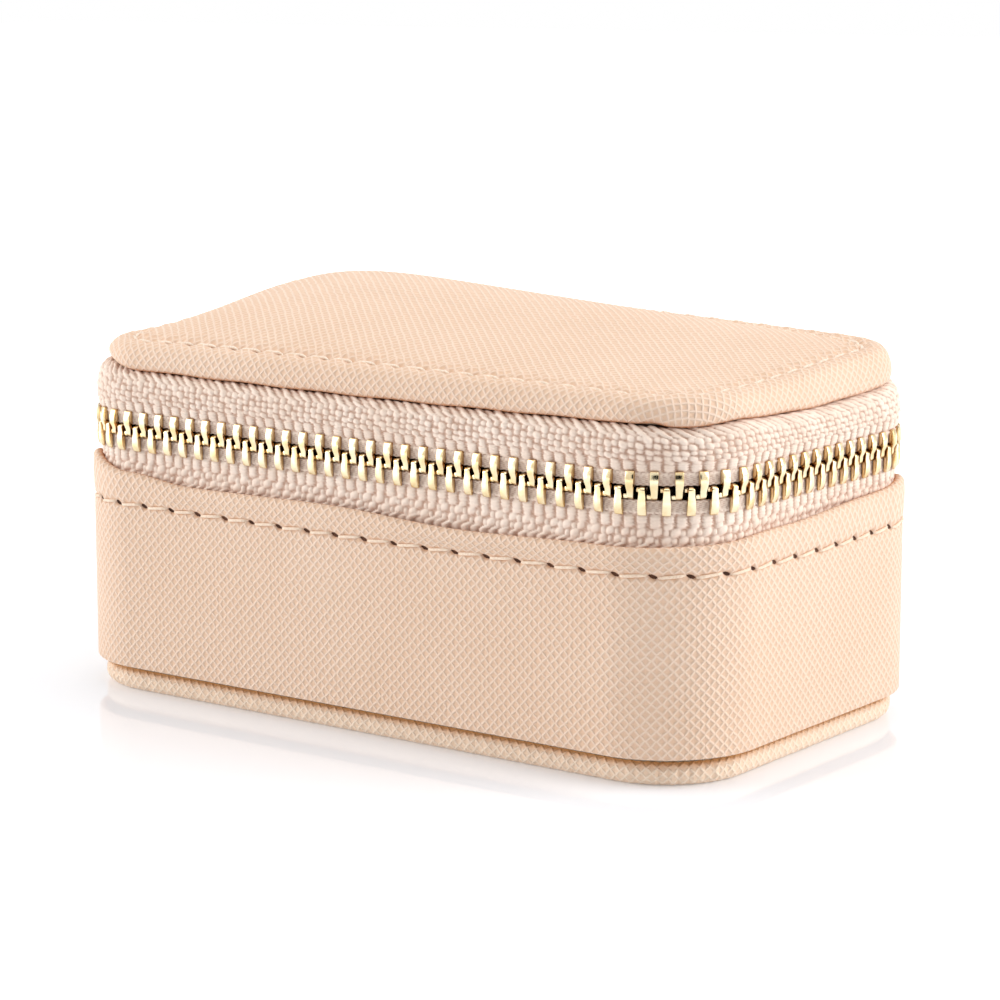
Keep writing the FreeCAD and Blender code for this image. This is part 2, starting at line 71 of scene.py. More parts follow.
WALL_LOW, WALL_HIGH = corners("wall_leather")
BASE_LOW, BASE_HIGH = corners("base_cover")
LID_LOW, LID_HIGH = corners("lid_cover")
TAPE_LOW, TAPE_HIGH = corners("tape_lower")
UPPER_LOW, UPPER_HIGH = corners("tape_upper")
LINING_LOW, LINING_HIGH = corners("tray_lining")
HINGE_LOW, HINGE_HIGH = corners("hinge_strip")

CORNER = 13.5
SKIN = 1.44
TAPE_THICKNESS = 0.7
CHAIN_Z = (TAPE_HIGH[2] + UPPER_LOW[2]) / 2
TAPE_EDGE = CHAIN_Z - TAPE_HIGH[2]
TAPE_INSET = WALL_HIGH[0] - UPPER_HIGH[0]
CHAIN_INSET = TAPE_INSET + TAPE_THICKNESS / 2

random = np.random.default_rng(7)


# Outlines: rounded rectangles walked from the middle of the back to the left, front and right.

def spans(half_w, half_d, radii):
    """Lengths of the straight runs and corners, by turns."""
    bl, fl, fr, br = radii
    return np.array([
        half_w - bl, bl * QUARTER, 2 * half_d - bl - fl, fl * QUARTER, 2 * half_w - fl - fr,
        fr * QUARTER, 2 * half_d - fr - br, br * QUARTER, half_w - br,
    ])


def spots(distances, *outline):
    """The stretch of the outline and the share of it at each distance."""
    lengths = spans(*outline)
    ends = np.cumsum(lengths)
    index = np.clip(np.searchsorted(ends, distances, side="right"), 0, len(lengths) - 1)
    share = (distances - (ends - lengths)[index]) / np.maximum(lengths[index], 1e-9)
    return index, share


def ring(spot, half_w, half_d, radii):
    """Points and outward normals of the outline at the given spots."""
    index, share = spot
    bl, fl, fr, br = radii
    starts = np.array([
        (0, half_d), (bl - half_w, half_d - bl), (-half_w, half_d - bl),
        (fl - half_w, fl - half_d), (fl - half_w, -half_d), (half_w - fr, fr - half_d),
        (half_w, fr - half_d), (half_w - br, half_d - br), (half_w - br, half_d),
    ])
    bend = np.array([0, bl, 0, fl, 0, fr, 0, br, 0])
    on_arc = index % 2 == 1
    angle = QUARTER * (1 + index // 2 + on_arc * share)
    normal = np.stack([np.cos(angle), np.sin(angle)], -1)
    along = np.stack([-normal[:, 1], normal[:, 0]], -1)
    run = np.where(on_arc, 0, share * spans(half_w, half_d, radii)[index])
    return starts[index] + along * run[:, None] + normal * bend[index][:, None], normal


def case_outline(inset):
    """Half width, half depth and corner radii at an inset from the wall's face."""
    return WALL_HIGH[0] - inset, WALL_HIGH[1] - inset, (CORNER - inset,) * 4


def even_distances(outline, step):
    length = spans(*outline).sum()
    count = int(round(length / step))
    return np.arange(count) * length / count


def bump_at(x, centre, width):
    return np.exp(-((x - centre) / width) ** 2)


def smooth(x, low, high):
    t = np.clip((x - low) / (high - low), 0, 1)
    return t * t * (3 - 2 * t)


def hump(share):
    """0 at both ends of a stretch, 1 in its middle."""
    return np.sin(np.pi * np.clip(share, 0, 1))


def blunt(x, power):
    """A sine or cosine squared up towards a box."""
    return np.sign(x) * np.abs(x) ** power


def full_turn(count):
    return np.arange(count) * 2 * math.pi / count


def bend_points(centre, radius, first, last, count):
    """An arc in a section, round or oval, from one angle to another in degrees."""
    angles = np.radians(np.linspace(first, last, count))
    across, up = np.broadcast_to(radius, 2)
    return [(centre[0] + across * math.cos(a), centre[1] + up * math.sin(a)) for a in angles]


def running(path):
    """Length along a path at each of its points."""
    return np.concatenate([[0], np.cumsum(np.linalg.norm(np.diff(path, axis=0), axis=1))])


def unit(vectors):
    return vectors / np.linalg.norm(vectors, axis=-1, keepdims=True)


def across_path(path):
    """Unit vectors square to a flat path."""
    ahead = unit(np.gradient(path, axis=0))
    return np.column_stack([-ahead[:, 1], ahead[:, 0]])


def raised(plan, z):
    """Plan points or vectors with a height."""
    return np.column_stack([plan, np.broadcast_to(z, len(plan))])


def swept(plan, normal, inset, z):
    """Points[row][column] at an inset behind the outline and a height."""
    flat = plan - normal * inset[..., None]
    return np.concatenate([flat, np.broadcast_to(z, inset.shape)[..., None]], -1)


# Meshes. A finish is a piece's body, material slot and material.

def add(name, data):
    thing = bpy.data.objects.new(name, data)
    bpy.context.scene.collection.objects.link(thing)
    return thing


def finish_mesh(mesh, sharp):
    shell = bmesh.new()
    shell.from_mesh(mesh)
    bmesh.ops.remove_doubles(shell, verts=shell.verts, dist=1e-7)
    bmesh.ops.recalc_face_normals(shell, faces=shell.faces)
    shell.to_mesh(mesh)
    shell.free()
    mesh.shade_smooth()
    if sharp:
        mesh.set_sharp_from_angle(angle=math.radians(sharp))


def new_piece(name, points, faces, finish, cloth=None, relief=None, sharp=None, node=None):
    """A piece in the place of a node, from points in millimetres.

    cloth holds a flat coordinate for each face corner, relief a height of the weave for each point."""
    body, slot, material = finish
    mesh = bpy.data.meshes.new(name)
    mesh.from_pydata((np.asarray(points) * MM).tolist(), [], faces)
    if cloth is not None:
        layer = mesh.uv_layers.new(name="cloth")
        layer.data.foreach_set("uv", np.asarray(cloth, np.float32).ravel())
    if relief is not None:
        attribute = mesh.attributes.new("relief", "FLOAT", "POINT")
        attribute.data.foreach_set("value", np.asarray(relief, np.float32).ravel())
    finish_mesh(mesh, sharp)
    mesh.materials.append(material)
    piece = add(name, mesh)
    if body:
        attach(piece, body)
    if node:
        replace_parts(piece, node)
    return piece


def grid_faces(rows, columns, loop_rows=False, loop_columns=True):
    """Quads of a grid by point number, and the rows and columns of their corners on the flat cloth."""
    r, c = np.indices((rows - (not loop_rows), columns - (not loop_columns))).reshape(2, -1)
    down = np.stack([r, r + 1, r + 1, r], -1)
    along = np.stack([c, c, c + 1, c + 1], -1)
    return down % rows * columns + along % columns, down, along


def end_faces(kind, rows, columns):
    """Faces that shut a grid at its ends."""
    grid = np.arange(rows * columns).reshape(rows, columns)
    return {"none": grid[:0], "first": grid[:1], "rows": grid[[0, -1]], "columns": grid.T[[0, -1]]}[kind]


def cloth_grid(rows, columns):
    """Flat coordinates of a grid, from lengths down its rows and along its columns."""
    return np.stack(np.meshgrid(rows, columns, indexing="ij")[::-1], -1)


def grid_piece(name, points, finish, cloth=None, loops=(False, True), caps="rows", **options):
    """A sheet of quads; cloth has one more row or column where the sheet closes."""
    rows, columns = points.shape[:2]
    quads, down, along = grid_faces(rows, columns, *loops)
    ends = end_faces(caps, rows, columns)
    if cloth is not None:
        cloth = np.concatenate([cloth[down, along].reshape(-1, 2), np.zeros((ends.size, 2))])
    faces = quads.tolist() + ends.tolist()
    return new_piece(name, points.reshape(-1, 3), faces, finish, cloth, **options)


def loft(name, half, middle, path, radii_of, outline, step, finish, deep=1.0, **options):
    """Rounded rectangles at (inset, height); deep is the share of an inset that the depth takes."""
    spot = spots(even_distances(outline, step), *outline)
    rows = []
    for (inset, z), share in zip(path, np.broadcast_to(deep, len(path))):
        size = half[0] - inset, half[1] - inset * share
        plan, _ = ring(spot, *size, radii_of(*size))
        rows.append(raised(plan + middle[:2], z))
    return grid_piece(name, np.array(rows), finish, **options)


def boxed(name, node, path, radii_of, step, finish, **options):
    """A loft in the place of a node, from its box."""
    low, high = corners(node)
    half = (high - low) / 2
    outline = (*half[:2], radii_of(*half[:2]))
    middle = (high + low) / 2
    return loft(name, half, middle, path, radii_of, outline, step, finish, node=node, **options)


def joined(pieces, name):
    """One piece from several that share a finish."""
    merged = bmesh.new()
    for piece in pieces:
        merged.from_mesh(piece.data)
    merged.to_mesh(pieces[0].data)
    merged.free()
    for piece in pieces[1:]:
        bpy.data.objects.remove(piece)
    pieces[0].name = name
    return pieces[0]


def gather(parts):
    """One list of points and faces from several."""
    points, faces, count = [], [], 0
    for own_points, own_faces in parts:
        points.append(own_points)
        faces += [[v + count for v in face] for face in own_faces]
        count += len(own_points)
    return np.concatenate(points), faces


# Materials.

def linear(screen):
    """A screen colour as the shader takes it."""
    shares = [c / 255 for c in screen]
    return *[s / 12.92 if s <= 0.04045 else ((s + 0.055) / 1.055) ** 2.4 for s in shares], 1.0


class Look:
    """The shader of a material or a world under construction."""

    def __init__(self, holder, shader="Principled BSDF"):
        holder.use_nodes = True
        self.holder = holder
        self.tree = holder.node_tree
        self.shader = self.tree.nodes[shader]

    def put(self, socket, value):
        if isinstance(value, bpy.types.NodeSocket):
            self.tree.links.new(value, socket)
        else:
            socket.default_value = value

    def node(self, kind, inputs=None, output=0, **settings):
        made = self.tree.nodes.new(f"ShaderNode{kind}")
        for key, value in settings.items():
            setattr(made, key, value)
        for key, value in (inputs or {}).items():
            self.put(made.inputs[key], value)
        return made.outputs[output]

    def set(self, **values):
        for key, value in values.items():
            self.put(self.shader.inputs[key.replace("_", " ")], value)

    def math(self, operation, a, b):
        return self.node("Math", {0: a, 1: b}, operation=operation)

    def vector(self, operation, a, b):
        return self.node("VectorMath", {0: a, 1: b}, operation=operation)

    def remap(self, value, low, high, to_low=0.0, to_high=1.0):
        inputs = {"Value": value, "From Min": low, "From Max": high, "To Min": to_low, "To Max": to_high}
        return self.node("MapRange", inputs, interpolation_type="SMOOTHSTEP")

    def mix(self, factor, a, b):
        """A blend of two colours, each a screen colour from 0 to 255 or a mix itself."""
        a, b = [linear(c) if isinstance(c, tuple) else c for c in (a, b)]
        return self.node("Mix", {0: factor, 6: a, 7: b}, 2, data_type="RGBA")

    def cloth(self):
        return self.node("UVMap", uv_map="cloth")

    def place(self):
        return self.node("TexCoord", output="Object")

    def mapped(self, vector, scale, turn=0.0):
        return self.node("Mapping", {"Vector": vector, "Rotation": (0, 0, turn), "Scale": scale})

    def noise(self, vector, scale, detail, output="Fac"):
        return self.node("TexNoise", {"Vector": vector, "Scale": scale, "Detail": detail}, output)

    def wander(self, vector, scale, reach):
        """The vector with a slow drift, so that a pattern isn't ruled."""
        centred = self.vector("SUBTRACT", self.noise(vector, scale, 1.0, "Color"), (0.5, 0.5, 0.5))
        return self.vector("ADD", vector, self.vector("MULTIPLY", centred, (reach, reach, 0.0)))

    def open_air(self, distance):
        """1 on open surfaces, less where they are shut in; the mask of painted shade."""
        return self.node("AmbientOcclusion", {"Distance": distance}, "AO", samples=6)

    def bump(self, height, distance, strength=1.0):
        inputs = {"Height": height, "Distance": distance, "Strength": strength}
        self.set(Normal=self.node("Bump", inputs))

    def seen(self):
        """1 for what is seen straight, mirrored or through glass, 0 for what only lights."""
        kinds = ("Camera", "Glossy", "Transmission")
        straight, mirrored, through = [self.node("LightPath", output=f"Is {kind} Ray") for kind in kinds]
        return self.math("MAXIMUM", self.math("MAXIMUM", straight, mirrored), through)


def new_look(name):
    return Look(bpy.data.materials.new(name))


EMBOSS_PITCH = 0.95


def leather_look(name, body, ridge_and_highlight, pit_and_shade, fold_shade, fold_shade_reach=0.003, above=None):
    """Embossed leather: soft square pits between raised diagonal ridges. The pits are darker and the ridges
    lighter, partly the leather's own colour and partly painted shade and painted highlight; a painted warm
    shade fills the folds, where the surface is shut in.

    The painted fold shade fades out between the two heights of above."""
    look = new_look(name)
    flat = look.mapped(look.cloth(), (1 / EMBOSS_PITCH,) * 3, math.pi / 4)
    inputs = {"Vector": look.wander(flat, 0.55, 0.22), "Scale": 1.0, "Randomness": 0.16}
    cells = look.node("TexVoronoi", inputs, "Distance", voronoi_dimensions="2D", feature="DISTANCE_TO_EDGE")
    ridges = look.remap(cells, 0.03, 0.24, 1.0, 0.0)
    dish = look.remap(cells, 0.1, 0.5, 1.0, 0.0)
    grain = look.noise(look.place(), 5200.0, 2.0)
    patches = look.noise(look.place(), 45.0, 2.0)
    tone = look.mix(look.remap(patches, 0.3, 0.7, 0.0, 0.35), body, pit_and_shade)
    # Partly the leather's own colour, partly painted shade and painted highlight: darker towards the pits,
    # lighter on the ridges.
    shaded = look.mix(look.remap(cells, 0.08, 0.36, 0.0, 0.6), tone, pit_and_shade)
    top = look.mix(look.math("MULTIPLY", ridges, 0.46), shaded, ridge_and_highlight)
    # Painted shade: a warm dark colour where the surface is shut in, standing in for shade and warm bounced
    # light in folds and grooves.
    air = look.open_air(fold_shade_reach)
    if above is not None:
        height = look.node("SeparateXYZ", {0: look.place()}, "Z")
        air = look.math("MAXIMUM", air, look.remap(height, *above, 1.0, 0.0))
    look.set(Base_Color=look.mix(look.remap(air, 0.15, 0.85), fold_shade, top), Specular_IOR_Level=0.24)
    look.set(Roughness=look.remap(look.math("ADD", ridges, grain), 0.3, 1.5, 0.62, 0.42))
    height = look.math("ADD", ridges, look.math("MULTIPLY", dish, 0.5))
    look.bump(look.math("ADD", height, look.math("MULTIPLY", grain, 0.16)), 0.0001)
    return look.holder


def tape_look():
    """Woven tape: pale yarn tops, painted warmer shade in the weave's gaps, fine filaments along the yarn."""
    look = new_look("zip_tape")
    relief = look.node("Attribute", output="Fac", attribute_name="relief")
    filaments = look.noise(look.mapped(look.cloth(), (2.2, 11.0, 1.0)), 1.6, 2.0)
    patches = look.noise(look.place(), 260.0, 2.0)
    yarn = look.mix(look.remap(patches, 0.3, 0.7), (250, 231, 215), (243, 221, 203))
    # Painted shade: the yarn turns warm brown where the weave's relief is low, in the gaps between the yarns.
    look.set(Base_Color=look.mix(look.remap(relief, 0.1, 0.75), (188, 146, 122), yarn))
    look.set(Roughness=look.remap(filaments, 0.3, 0.7, 0.62, 0.8), Sheen_Weight=0.15, Sheen_Roughness=0.4)
    look.bump(filaments, 0.00006, 0.8)
    return look.holder


def metal_look(name, tone, edge, deep):
    """Polished pale gold plating with faint draw marks, with a painted brown shade and painted dark
    reflection where it's shut in.
    """
    look = new_look(name)
    marks = look.noise(look.mapped(look.place(), (1.0, 1.0, 0.25)), 3600.0, 3.0)
    patches = look.noise(look.place(), 520.0, 2.0)
    plated = look.mix(look.remap(patches, 0.35, 0.7), tone, edge)
    # Painted shade and painted reflection: the third colour where neighbours and the tape shut the metal in.
    look.set(Base_Color=look.mix(look.remap(look.open_air(0.0012), 0.2, 0.9), deep, plated))
    look.set(Metallic=1.0, Roughness=look.remap(marks, 0.3, 0.75, 0.12, 0.26))
    look.bump(marks, 0.000012, 0.7)
    return look.holder


def grained_look(name, tone, shade, scales, detail, rough, depth, **more):
    """Two tones in patches under a fine grain."""
    look = new_look(name)
    patches, grain = [look.noise(look.place(), scale, detail) for scale in scales]
    look.set(Base_Color=look.mix(look.remap(patches, 0.35, 0.65), tone, shade))
    look.set(Roughness=look.remap(grain, 0.3, 0.7, *rough), **more)
    look.bump(grain, depth, 0.8)
    return look.holder


def velvet_look(name, tone, shade):
    """Short pile with a soft sheen."""
    return grained_look(name, tone, shade, (95.0, 4200.0), 3.0, (0.85, 0.98), 0.00018,
                        Sheen_Weight=0.6, Sheen_Roughness=0.35, Specular_IOR_Level=0.2)


def plain_look(name, tone, shade, scale, rough, depth):
    """Thread, board, foam and the painted shade of needle holes."""
    return grained_look(name, tone, shade, (scale, scale), 4.0, (rough, min(1.0, rough + 0.12)), depth)


def mirror_look():
    """Silvered glass with a trace of haze."""
    look = new_look("mirror_glass")
    haze = look.noise(look.place(), 160.0, 2.0)
    look.set(Base_Color=look.mix(haze, (236, 240, 241), (226, 231, 233)))
    look.set(Metallic=1.0, Roughness=look.remap(haze, 0.3, 0.8, 0.015, 0.05))
    return look.holder


LEATHER = leather_look("saffiano_leather", body=(235, 204, 179), ridge_and_highlight=(247, 225, 207),
                       pit_and_shade=(223, 185, 154), fold_shade=(196, 128, 78))
# A lighter copy of the leather for the base panel: painted light standing in for the light the floor throws
# up, with a brighter painted warm shade in the groove under the wall.
LIT_BASE_LEATHER = leather_look("lit_base_leather", body=(248, 222, 196), ridge_and_highlight=(253, 236, 217),
                            pit_and_shade=(237, 205, 176), fold_shade=(244, 176, 108),
                            fold_shade_reach=0.0022, above=(0.0009, 0.0022))
TAPE = tape_look()
# The third colour of each metal is painted shade in its gaps.
ZIP_METAL = metal_look("zip_metal", (240, 224, 186), (230, 203, 150), (164, 104, 44))
SLIDER_METAL = metal_look("slider_metal", (242, 226, 187), (237, 219, 176), (186, 140, 84))
VELVET = velvet_look("velvet", (224, 197, 178), (217, 188, 168))
LID_VELVET = velvet_look("lid_velvet", (227, 202, 184), (221, 194, 175))
WALL_THREAD = plain_look("wall_thread", (245, 224, 201), (234, 208, 183), 3800.0, 0.5, 0.00008)
LID_THREAD = plain_look("lid_thread", (250, 236, 220), (238, 217, 196), 3800.0, 0.5, 0.00008)
# Painted shade: the dark inside of the needle holes.
NEEDLE_HOLE_SHADE = plain_look("needle_hole_shade", (96, 61, 41), (66, 41, 28), 900.0, 0.85, 0.00005)
BOARD = plain_look("stiff_board", (168, 152, 132), (150, 134, 115), 700.0, 0.85, 0.0001)
FOAM = plain_look("foam", (240, 237, 226), (228, 223, 208), 1500.0, 0.9, 0.0002)
MIRROR = mirror_look()

CASE_VELVET = ("case_base", "velvet", VELVET)
SLIDER = ("zip_slider", "slider_metal", SLIDER_METAL)
PULL = ("zip_pull", "slider_metal", SLIDER_METAL)


# The base panel: a wrapped board whose leather gathers in small pleats round the corners.

BASE_ROUND = 1.45
PLEAT_DEPTH, PLEAT_PITCH = 0.32, 1.15


def make_base():
    outline = case_outline(WALL_HIGH[0] - BASE_HIGH[0])
    distances = even_distances(outline, 0.3)
    index, share = spot = spots(distances, *outline)
    bottom, top = BASE_LOW[2], BASE_HIGH[2]
    section = [(11.0, bottom + 0.12), (6.0, bottom + 0.1), (2.6, bottom)]
    section += bend_points((BASE_ROUND, bottom + BASE_ROUND), BASE_ROUND, 270, 180, 8)
    section += bend_points((BASE_ROUND, top - BASE_ROUND), BASE_ROUND, 180, 90, 8)
    section = np.array(section + [(2.4, top), (6.0, top), (11.0, top)])
    inset, z = section.T[..., None]
    gathered = np.where(index % 2 == 1, hump(share), 0.0)
    waves = np.abs(np.sin(distances * np.pi / PLEAT_PITCH + 0.6 * np.sin(distances * 0.9)))
    pleats = PLEAT_DEPTH * gathered * (waves - 0.5) + 0.04 * np.sin(distances * 2.1)
    points = swept(*ring(spot, *outline), inset - bump_at(inset, 0.2, 1.6) * pleats, z)
    cloth = cloth_grid(running(section), np.append(distances, spans(*outline).sum()))
    # The base wears the lighter copy of the leather, with painted light.
    leather = ("case_base", "saffiano_leather", LIT_BASE_LEATHER)
    grid_piece("base_panel", points, leather, cloth, node="base_cover")


# Stitches: short lengths of thread that dive into needle holes. A seam gives the points at
# distances along it, and the directions out of the leather and across the seam.

def stitch_marks(length, pitch):
    """Distances of the needle holes, with a little unevenness."""
    count = int(round(length / pitch))
    marks = (np.arange(count) + 0.5) * length / count
    return marks + random.uniform(-0.12, 0.12, count)


def past_mark(distances, marks, length):
    """How far each distance lies past the nearest needle hole, or short of it if negative."""
    gap = np.mod(distances[:, None] - marks[None] + length / 2, length) - length / 2
    return gap[np.arange(len(gap)), np.abs(gap).argmin(1)]


def tube(path, radius, sides=8):
    """Points and faces of a round thread along a path."""
    ahead = unit(np.gradient(path, axis=0))
    side = unit(np.cross(ahead, np.array([0.13, 0.29, 0.95])))
    other = np.cross(ahead, side)
    angles = full_turn(sides)[None, :, None]
    swing = side[:, None] * np.cos(angles) + other[:, None] * np.sin(angles)
    points = path[:, None] + swing * radius[:, None, None]
    faces = grid_faces(len(path), sides)[0].tolist() + end_faces("rows", len(path), sides).tolist()
    return points.reshape(-1, 3), faces


def sew(name, marks, length, seam, finish, radius, margin, crest, dive, slant):
    """Thread from each needle hole to the next, a margin short of both."""
    shares = np.linspace(0, 1, 11)
    off_middle = 2 * np.abs(shares - 0.5)
    arch = (crest - dive * off_middle ** 6)[:, None]
    tilt = slant * (1 - 2 * shares)[:, None]
    parts = []
    for here, there in zip(marks, np.append(marks[1:], marks[0] + length)):
        points, out, lift = seam(here + margin + (there - here - 2 * margin) * shares)
        parts.append(tube(points + out * arch + lift * tilt, radius * (1 - 0.25 * off_middle ** 4)))
    new_piece(name, *gather(parts), finish)


def punch(name, marks, seam, body, half, slant, height, dish):
    """Painted shade of the needle holes: small dark lentils set in the seam."""
    rings, sides = 4, 10
    angles = full_turn(sides)[:, None]
    faces = grid_faces(rings, sides)[0].tolist() + end_faces("first", rings, sides).tolist()
    parts = []
    shares = np.linspace(0.12, 1, rings)
    for point, out, lift in zip(*seam(marks)):
        along = np.cross((0, 0, 1), out + lift) - slant * lift
        edge = along * half[0] * np.cos(angles) + lift * half[1] * np.sin(angles)
        rows = [point + edge * s + out * (height + dish * (1 - s * s)) for s in shares]
        parts.append((np.concatenate(rows), faces))
    new_piece(name, *gather(parts), (body, "saffiano_leather", NEEDLE_HOLE_SHADE))


# The wall: leather with a folded hem, a sewn groove and needle dents.

SEAM_Z = WALL_HIGH[2] - 3.9
WALL_STITCH = 4.8
HEM_ROUND = 0.72
HEM_SWELL = 0.16
FOOT_FOLD = 0.3
WALL_BOW = 0.5
GROOVE_DEPTH = 0.22
HOLE_SLANT, HOLE_DEPTH = 0.5, 0.62
# Height of the hem's curl by stretch of the outline, with the share of it as decimals.
HEM_CURL = [(3.0, 0.0), (3.45, 2.2), (4.0, 0.5), (4.14, -0.5), (4.45, -0.2), (4.72, -1.1),
            (5.0, -0.6), (5.6, -0.3), (6.2, 0.3), (6.8, 1.1), (7.35, 1.9), (8.0, 0.0)]


def side_bow(spot):
    """How far the middle of each side swells, from 0 at the corners to 1."""
    index, share = spot
    along = np.where(index == 0, (1 + share) / 2, np.where(index == 8, share / 2, share))
    return np.where(index % 2 == 0, hump(along) ** 2, 0.0)


def hem_curl(spot):
    """How the hem is drawn up at two corners and sags along the front."""
    at = spot[0] + np.clip(spot[1], 0, 1)
    places, heights = np.array(HEM_CURL).T
    after = np.clip(np.searchsorted(places, at), 1, len(places) - 1)
    step = smooth(at, places[after - 1], places[after])
    return heights[after - 1] + (heights[after] - heights[after - 1]) * step


def wall_section():
    """Insets and heights from behind the wall's foot, up its face and over the hem."""
    bottom, top = WALL_LOW[2], WALL_HIGH[2]
    levels = [
        np.arange(bottom + 1.4, SEAM_Z - 1.2, 1.0), np.linspace(SEAM_Z - 1.05, SEAM_Z + 1.05, 16),
        np.arange(SEAM_Z + 1.4, top - HEM_ROUND - 0.2, 0.4),
    ]
    section = [(SKIN, bottom + 2.0), (SKIN, bottom + 0.4)]
    section += bend_points((FOOT_FOLD, bottom + FOOT_FOLD), FOOT_FOLD, 270, 180, 5)
    section += [(0, z) for z in np.concatenate(levels)]
    section += bend_points((HEM_ROUND, top - HEM_ROUND), HEM_ROUND, 180, 0, 11)
    return np.array(section + [(SKIN, top - 1.6), (SKIN, top - 3.0)])


def make_wall():
    outline = case_outline(0)
    length = spans(*outline).sum()
    distances = even_distances(outline, 0.26)
    spot = spots(distances, *outline)
    marks = stitch_marks(length, WALL_STITCH)
    past = past_mark(distances, marks, length)
    bottom, top = WALL_LOW[2], WALL_HIGH[2]
    section = wall_section()
    inset, z = section.T[..., None]
    hem = HEM_SWELL * bump_at(z, (SEAM_Z + top) / 2 + 0.2, 1.5)
    groove = GROOVE_DEPTH * bump_at(z, SEAM_Z, 0.42)
    hole = HOLE_DEPTH * bump_at(z, SEAM_Z - HOLE_SLANT * past, 0.27) * bump_at(past, 0.0, 0.6)
    puff = 0.05 * np.sin(distances * 0.37 + 1.0) * np.sin(distances * 0.11) * bump_at(z, SEAM_Z + 2.0, 2.0)
    on_face = inset < SKIN / 2
    out = WALL_BOW * smooth(z, bottom, top) * side_bow(spot) + on_face * (hem - groove - hole + puff)
    level = z + smooth(z, SEAM_Z - 0.5, top - 0.4) * hem_curl(spot)
    points = swept(*ring(spot, *outline), inset - out, level)
    cloth = cloth_grid(running(section), np.append(distances, length))
    leather = ("case_base", "saffiano_leather", LEATHER)
    grid_piece("wall", points, leather, cloth, caps="none", node="wall_leather")

    def seam(at):
        here = spots(np.mod(at, length), *outline)
        plan, normal = ring(here, *outline)
        swell = WALL_BOW * smooth(SEAM_Z, bottom, top) * side_bow(here)
        return raised(plan + normal * swell[:, None], SEAM_Z), raised(normal, 0.0), raised(0 * normal, 1.0)

    thread = ("case_base", "saffiano_leather", WALL_THREAD)
    sew("wall_stitching", marks, length, seam, thread,
        radius=0.22, margin=0.48, crest=-0.08, dive=0.75, slant=-0.2)
    punch("wall_needle_hole_shades", marks, seam, "case_base",
          half=(0.72, 0.32), slant=HOLE_SLANT, height=-0.36, dish=-0.12)


# The lid: a rolled rim, a sewn seam and a padded crown.

LID_X, LID_Y = LID_HIGH[:2]
LID_INSET = WALL_HIGH[0] - LID_X
LID_BOTTOM = LID_LOW[2]
RIM_TOP = LID_BOTTOM + 3.35
RIM_WIDTH = 2.3
LID_SEAM = 4.0
LID_STITCH = 3.95
SEAM_DEPTH, FRONT_SEAM_DEPTH = 0.32, 0.5
CROWN, CROWN_LEAN = 4.45, -3.0
BACK_SWELL, BACK_LEAN = 3.15, -1.5
EDGE_CURL = np.array([0, 0, 0, 0.9, -0.3, -0.35, -0.6, 0.9, 0])
TUCK_SHARE = 0.28


def lid_crown(x, y):
    """Padding above the rim: a crown that leans to the left, and a swell towards the back."""
    bell = (1 - np.abs(x / LID_X) ** 5.3) * (1 - np.abs(y / LID_Y) ** 2.9)
    bell = np.clip(bell, 0, 1) ** 1.7
    swell = smooth(y / LID_Y, -0.5, 0.9)
    return bell * (CROWN + CROWN_LEAN * x / LID_X) + swell * (BACK_SWELL + BACK_LEAN * x / LID_X)


def edge_curl(spot):
    """How the lid's lower edge rises at two corners and sags along the front and the right."""
    index, share = spot
    return EDGE_CURL[index] * np.where(index % 2 == 1, hump(share) ** 2, hump(share))


def lid_ring(inset):
    half_w, half_d = LID_X - inset, LID_Y - inset
    return half_w, half_d, (max(CORNER - LID_INSET - inset, min(3.0, half_d)),) * 4


def lid_level(inset):
    """Height of the lid's top without the crown, at an inset from its edge."""
    return RIM_TOP - 0.3 * smooth(inset, RIM_WIDTH, LID_SEAM)


def lid_section():
    """Insets and heights of the lid's underside, of its rolled rim and of its top."""
    roll = RIM_TOP - LID_BOTTOM - 1.1
    under = [(inset, LID_BOTTOM) for inset in (9.0, 5.0, 3.0, 2.4, 1.9, 1.4)]
    under += bend_points((1.0, LID_BOTTOM + 1.0), 1.0, 270, 180, 6)[1:]
    rim = bend_points((RIM_WIDTH, RIM_TOP - roll), (RIM_WIDTH, roll), 180, 90, 12)
    insets = np.concatenate([
        np.arange(RIM_WIDTH + 0.35, LID_SEAM - 1.0, 0.35), np.arange(LID_SEAM - 1.0, LID_SEAM + 1.01, 0.2),
        np.arange(LID_SEAM + 1.4, LID_SEAM + 4.0, 0.45), np.arange(LID_SEAM + 4.2, LID_Y - 0.4, 0.8),
        [LID_Y - 0.02],
    ])
    return under, rim, [(inset, lid_level(inset)) for inset in insets]


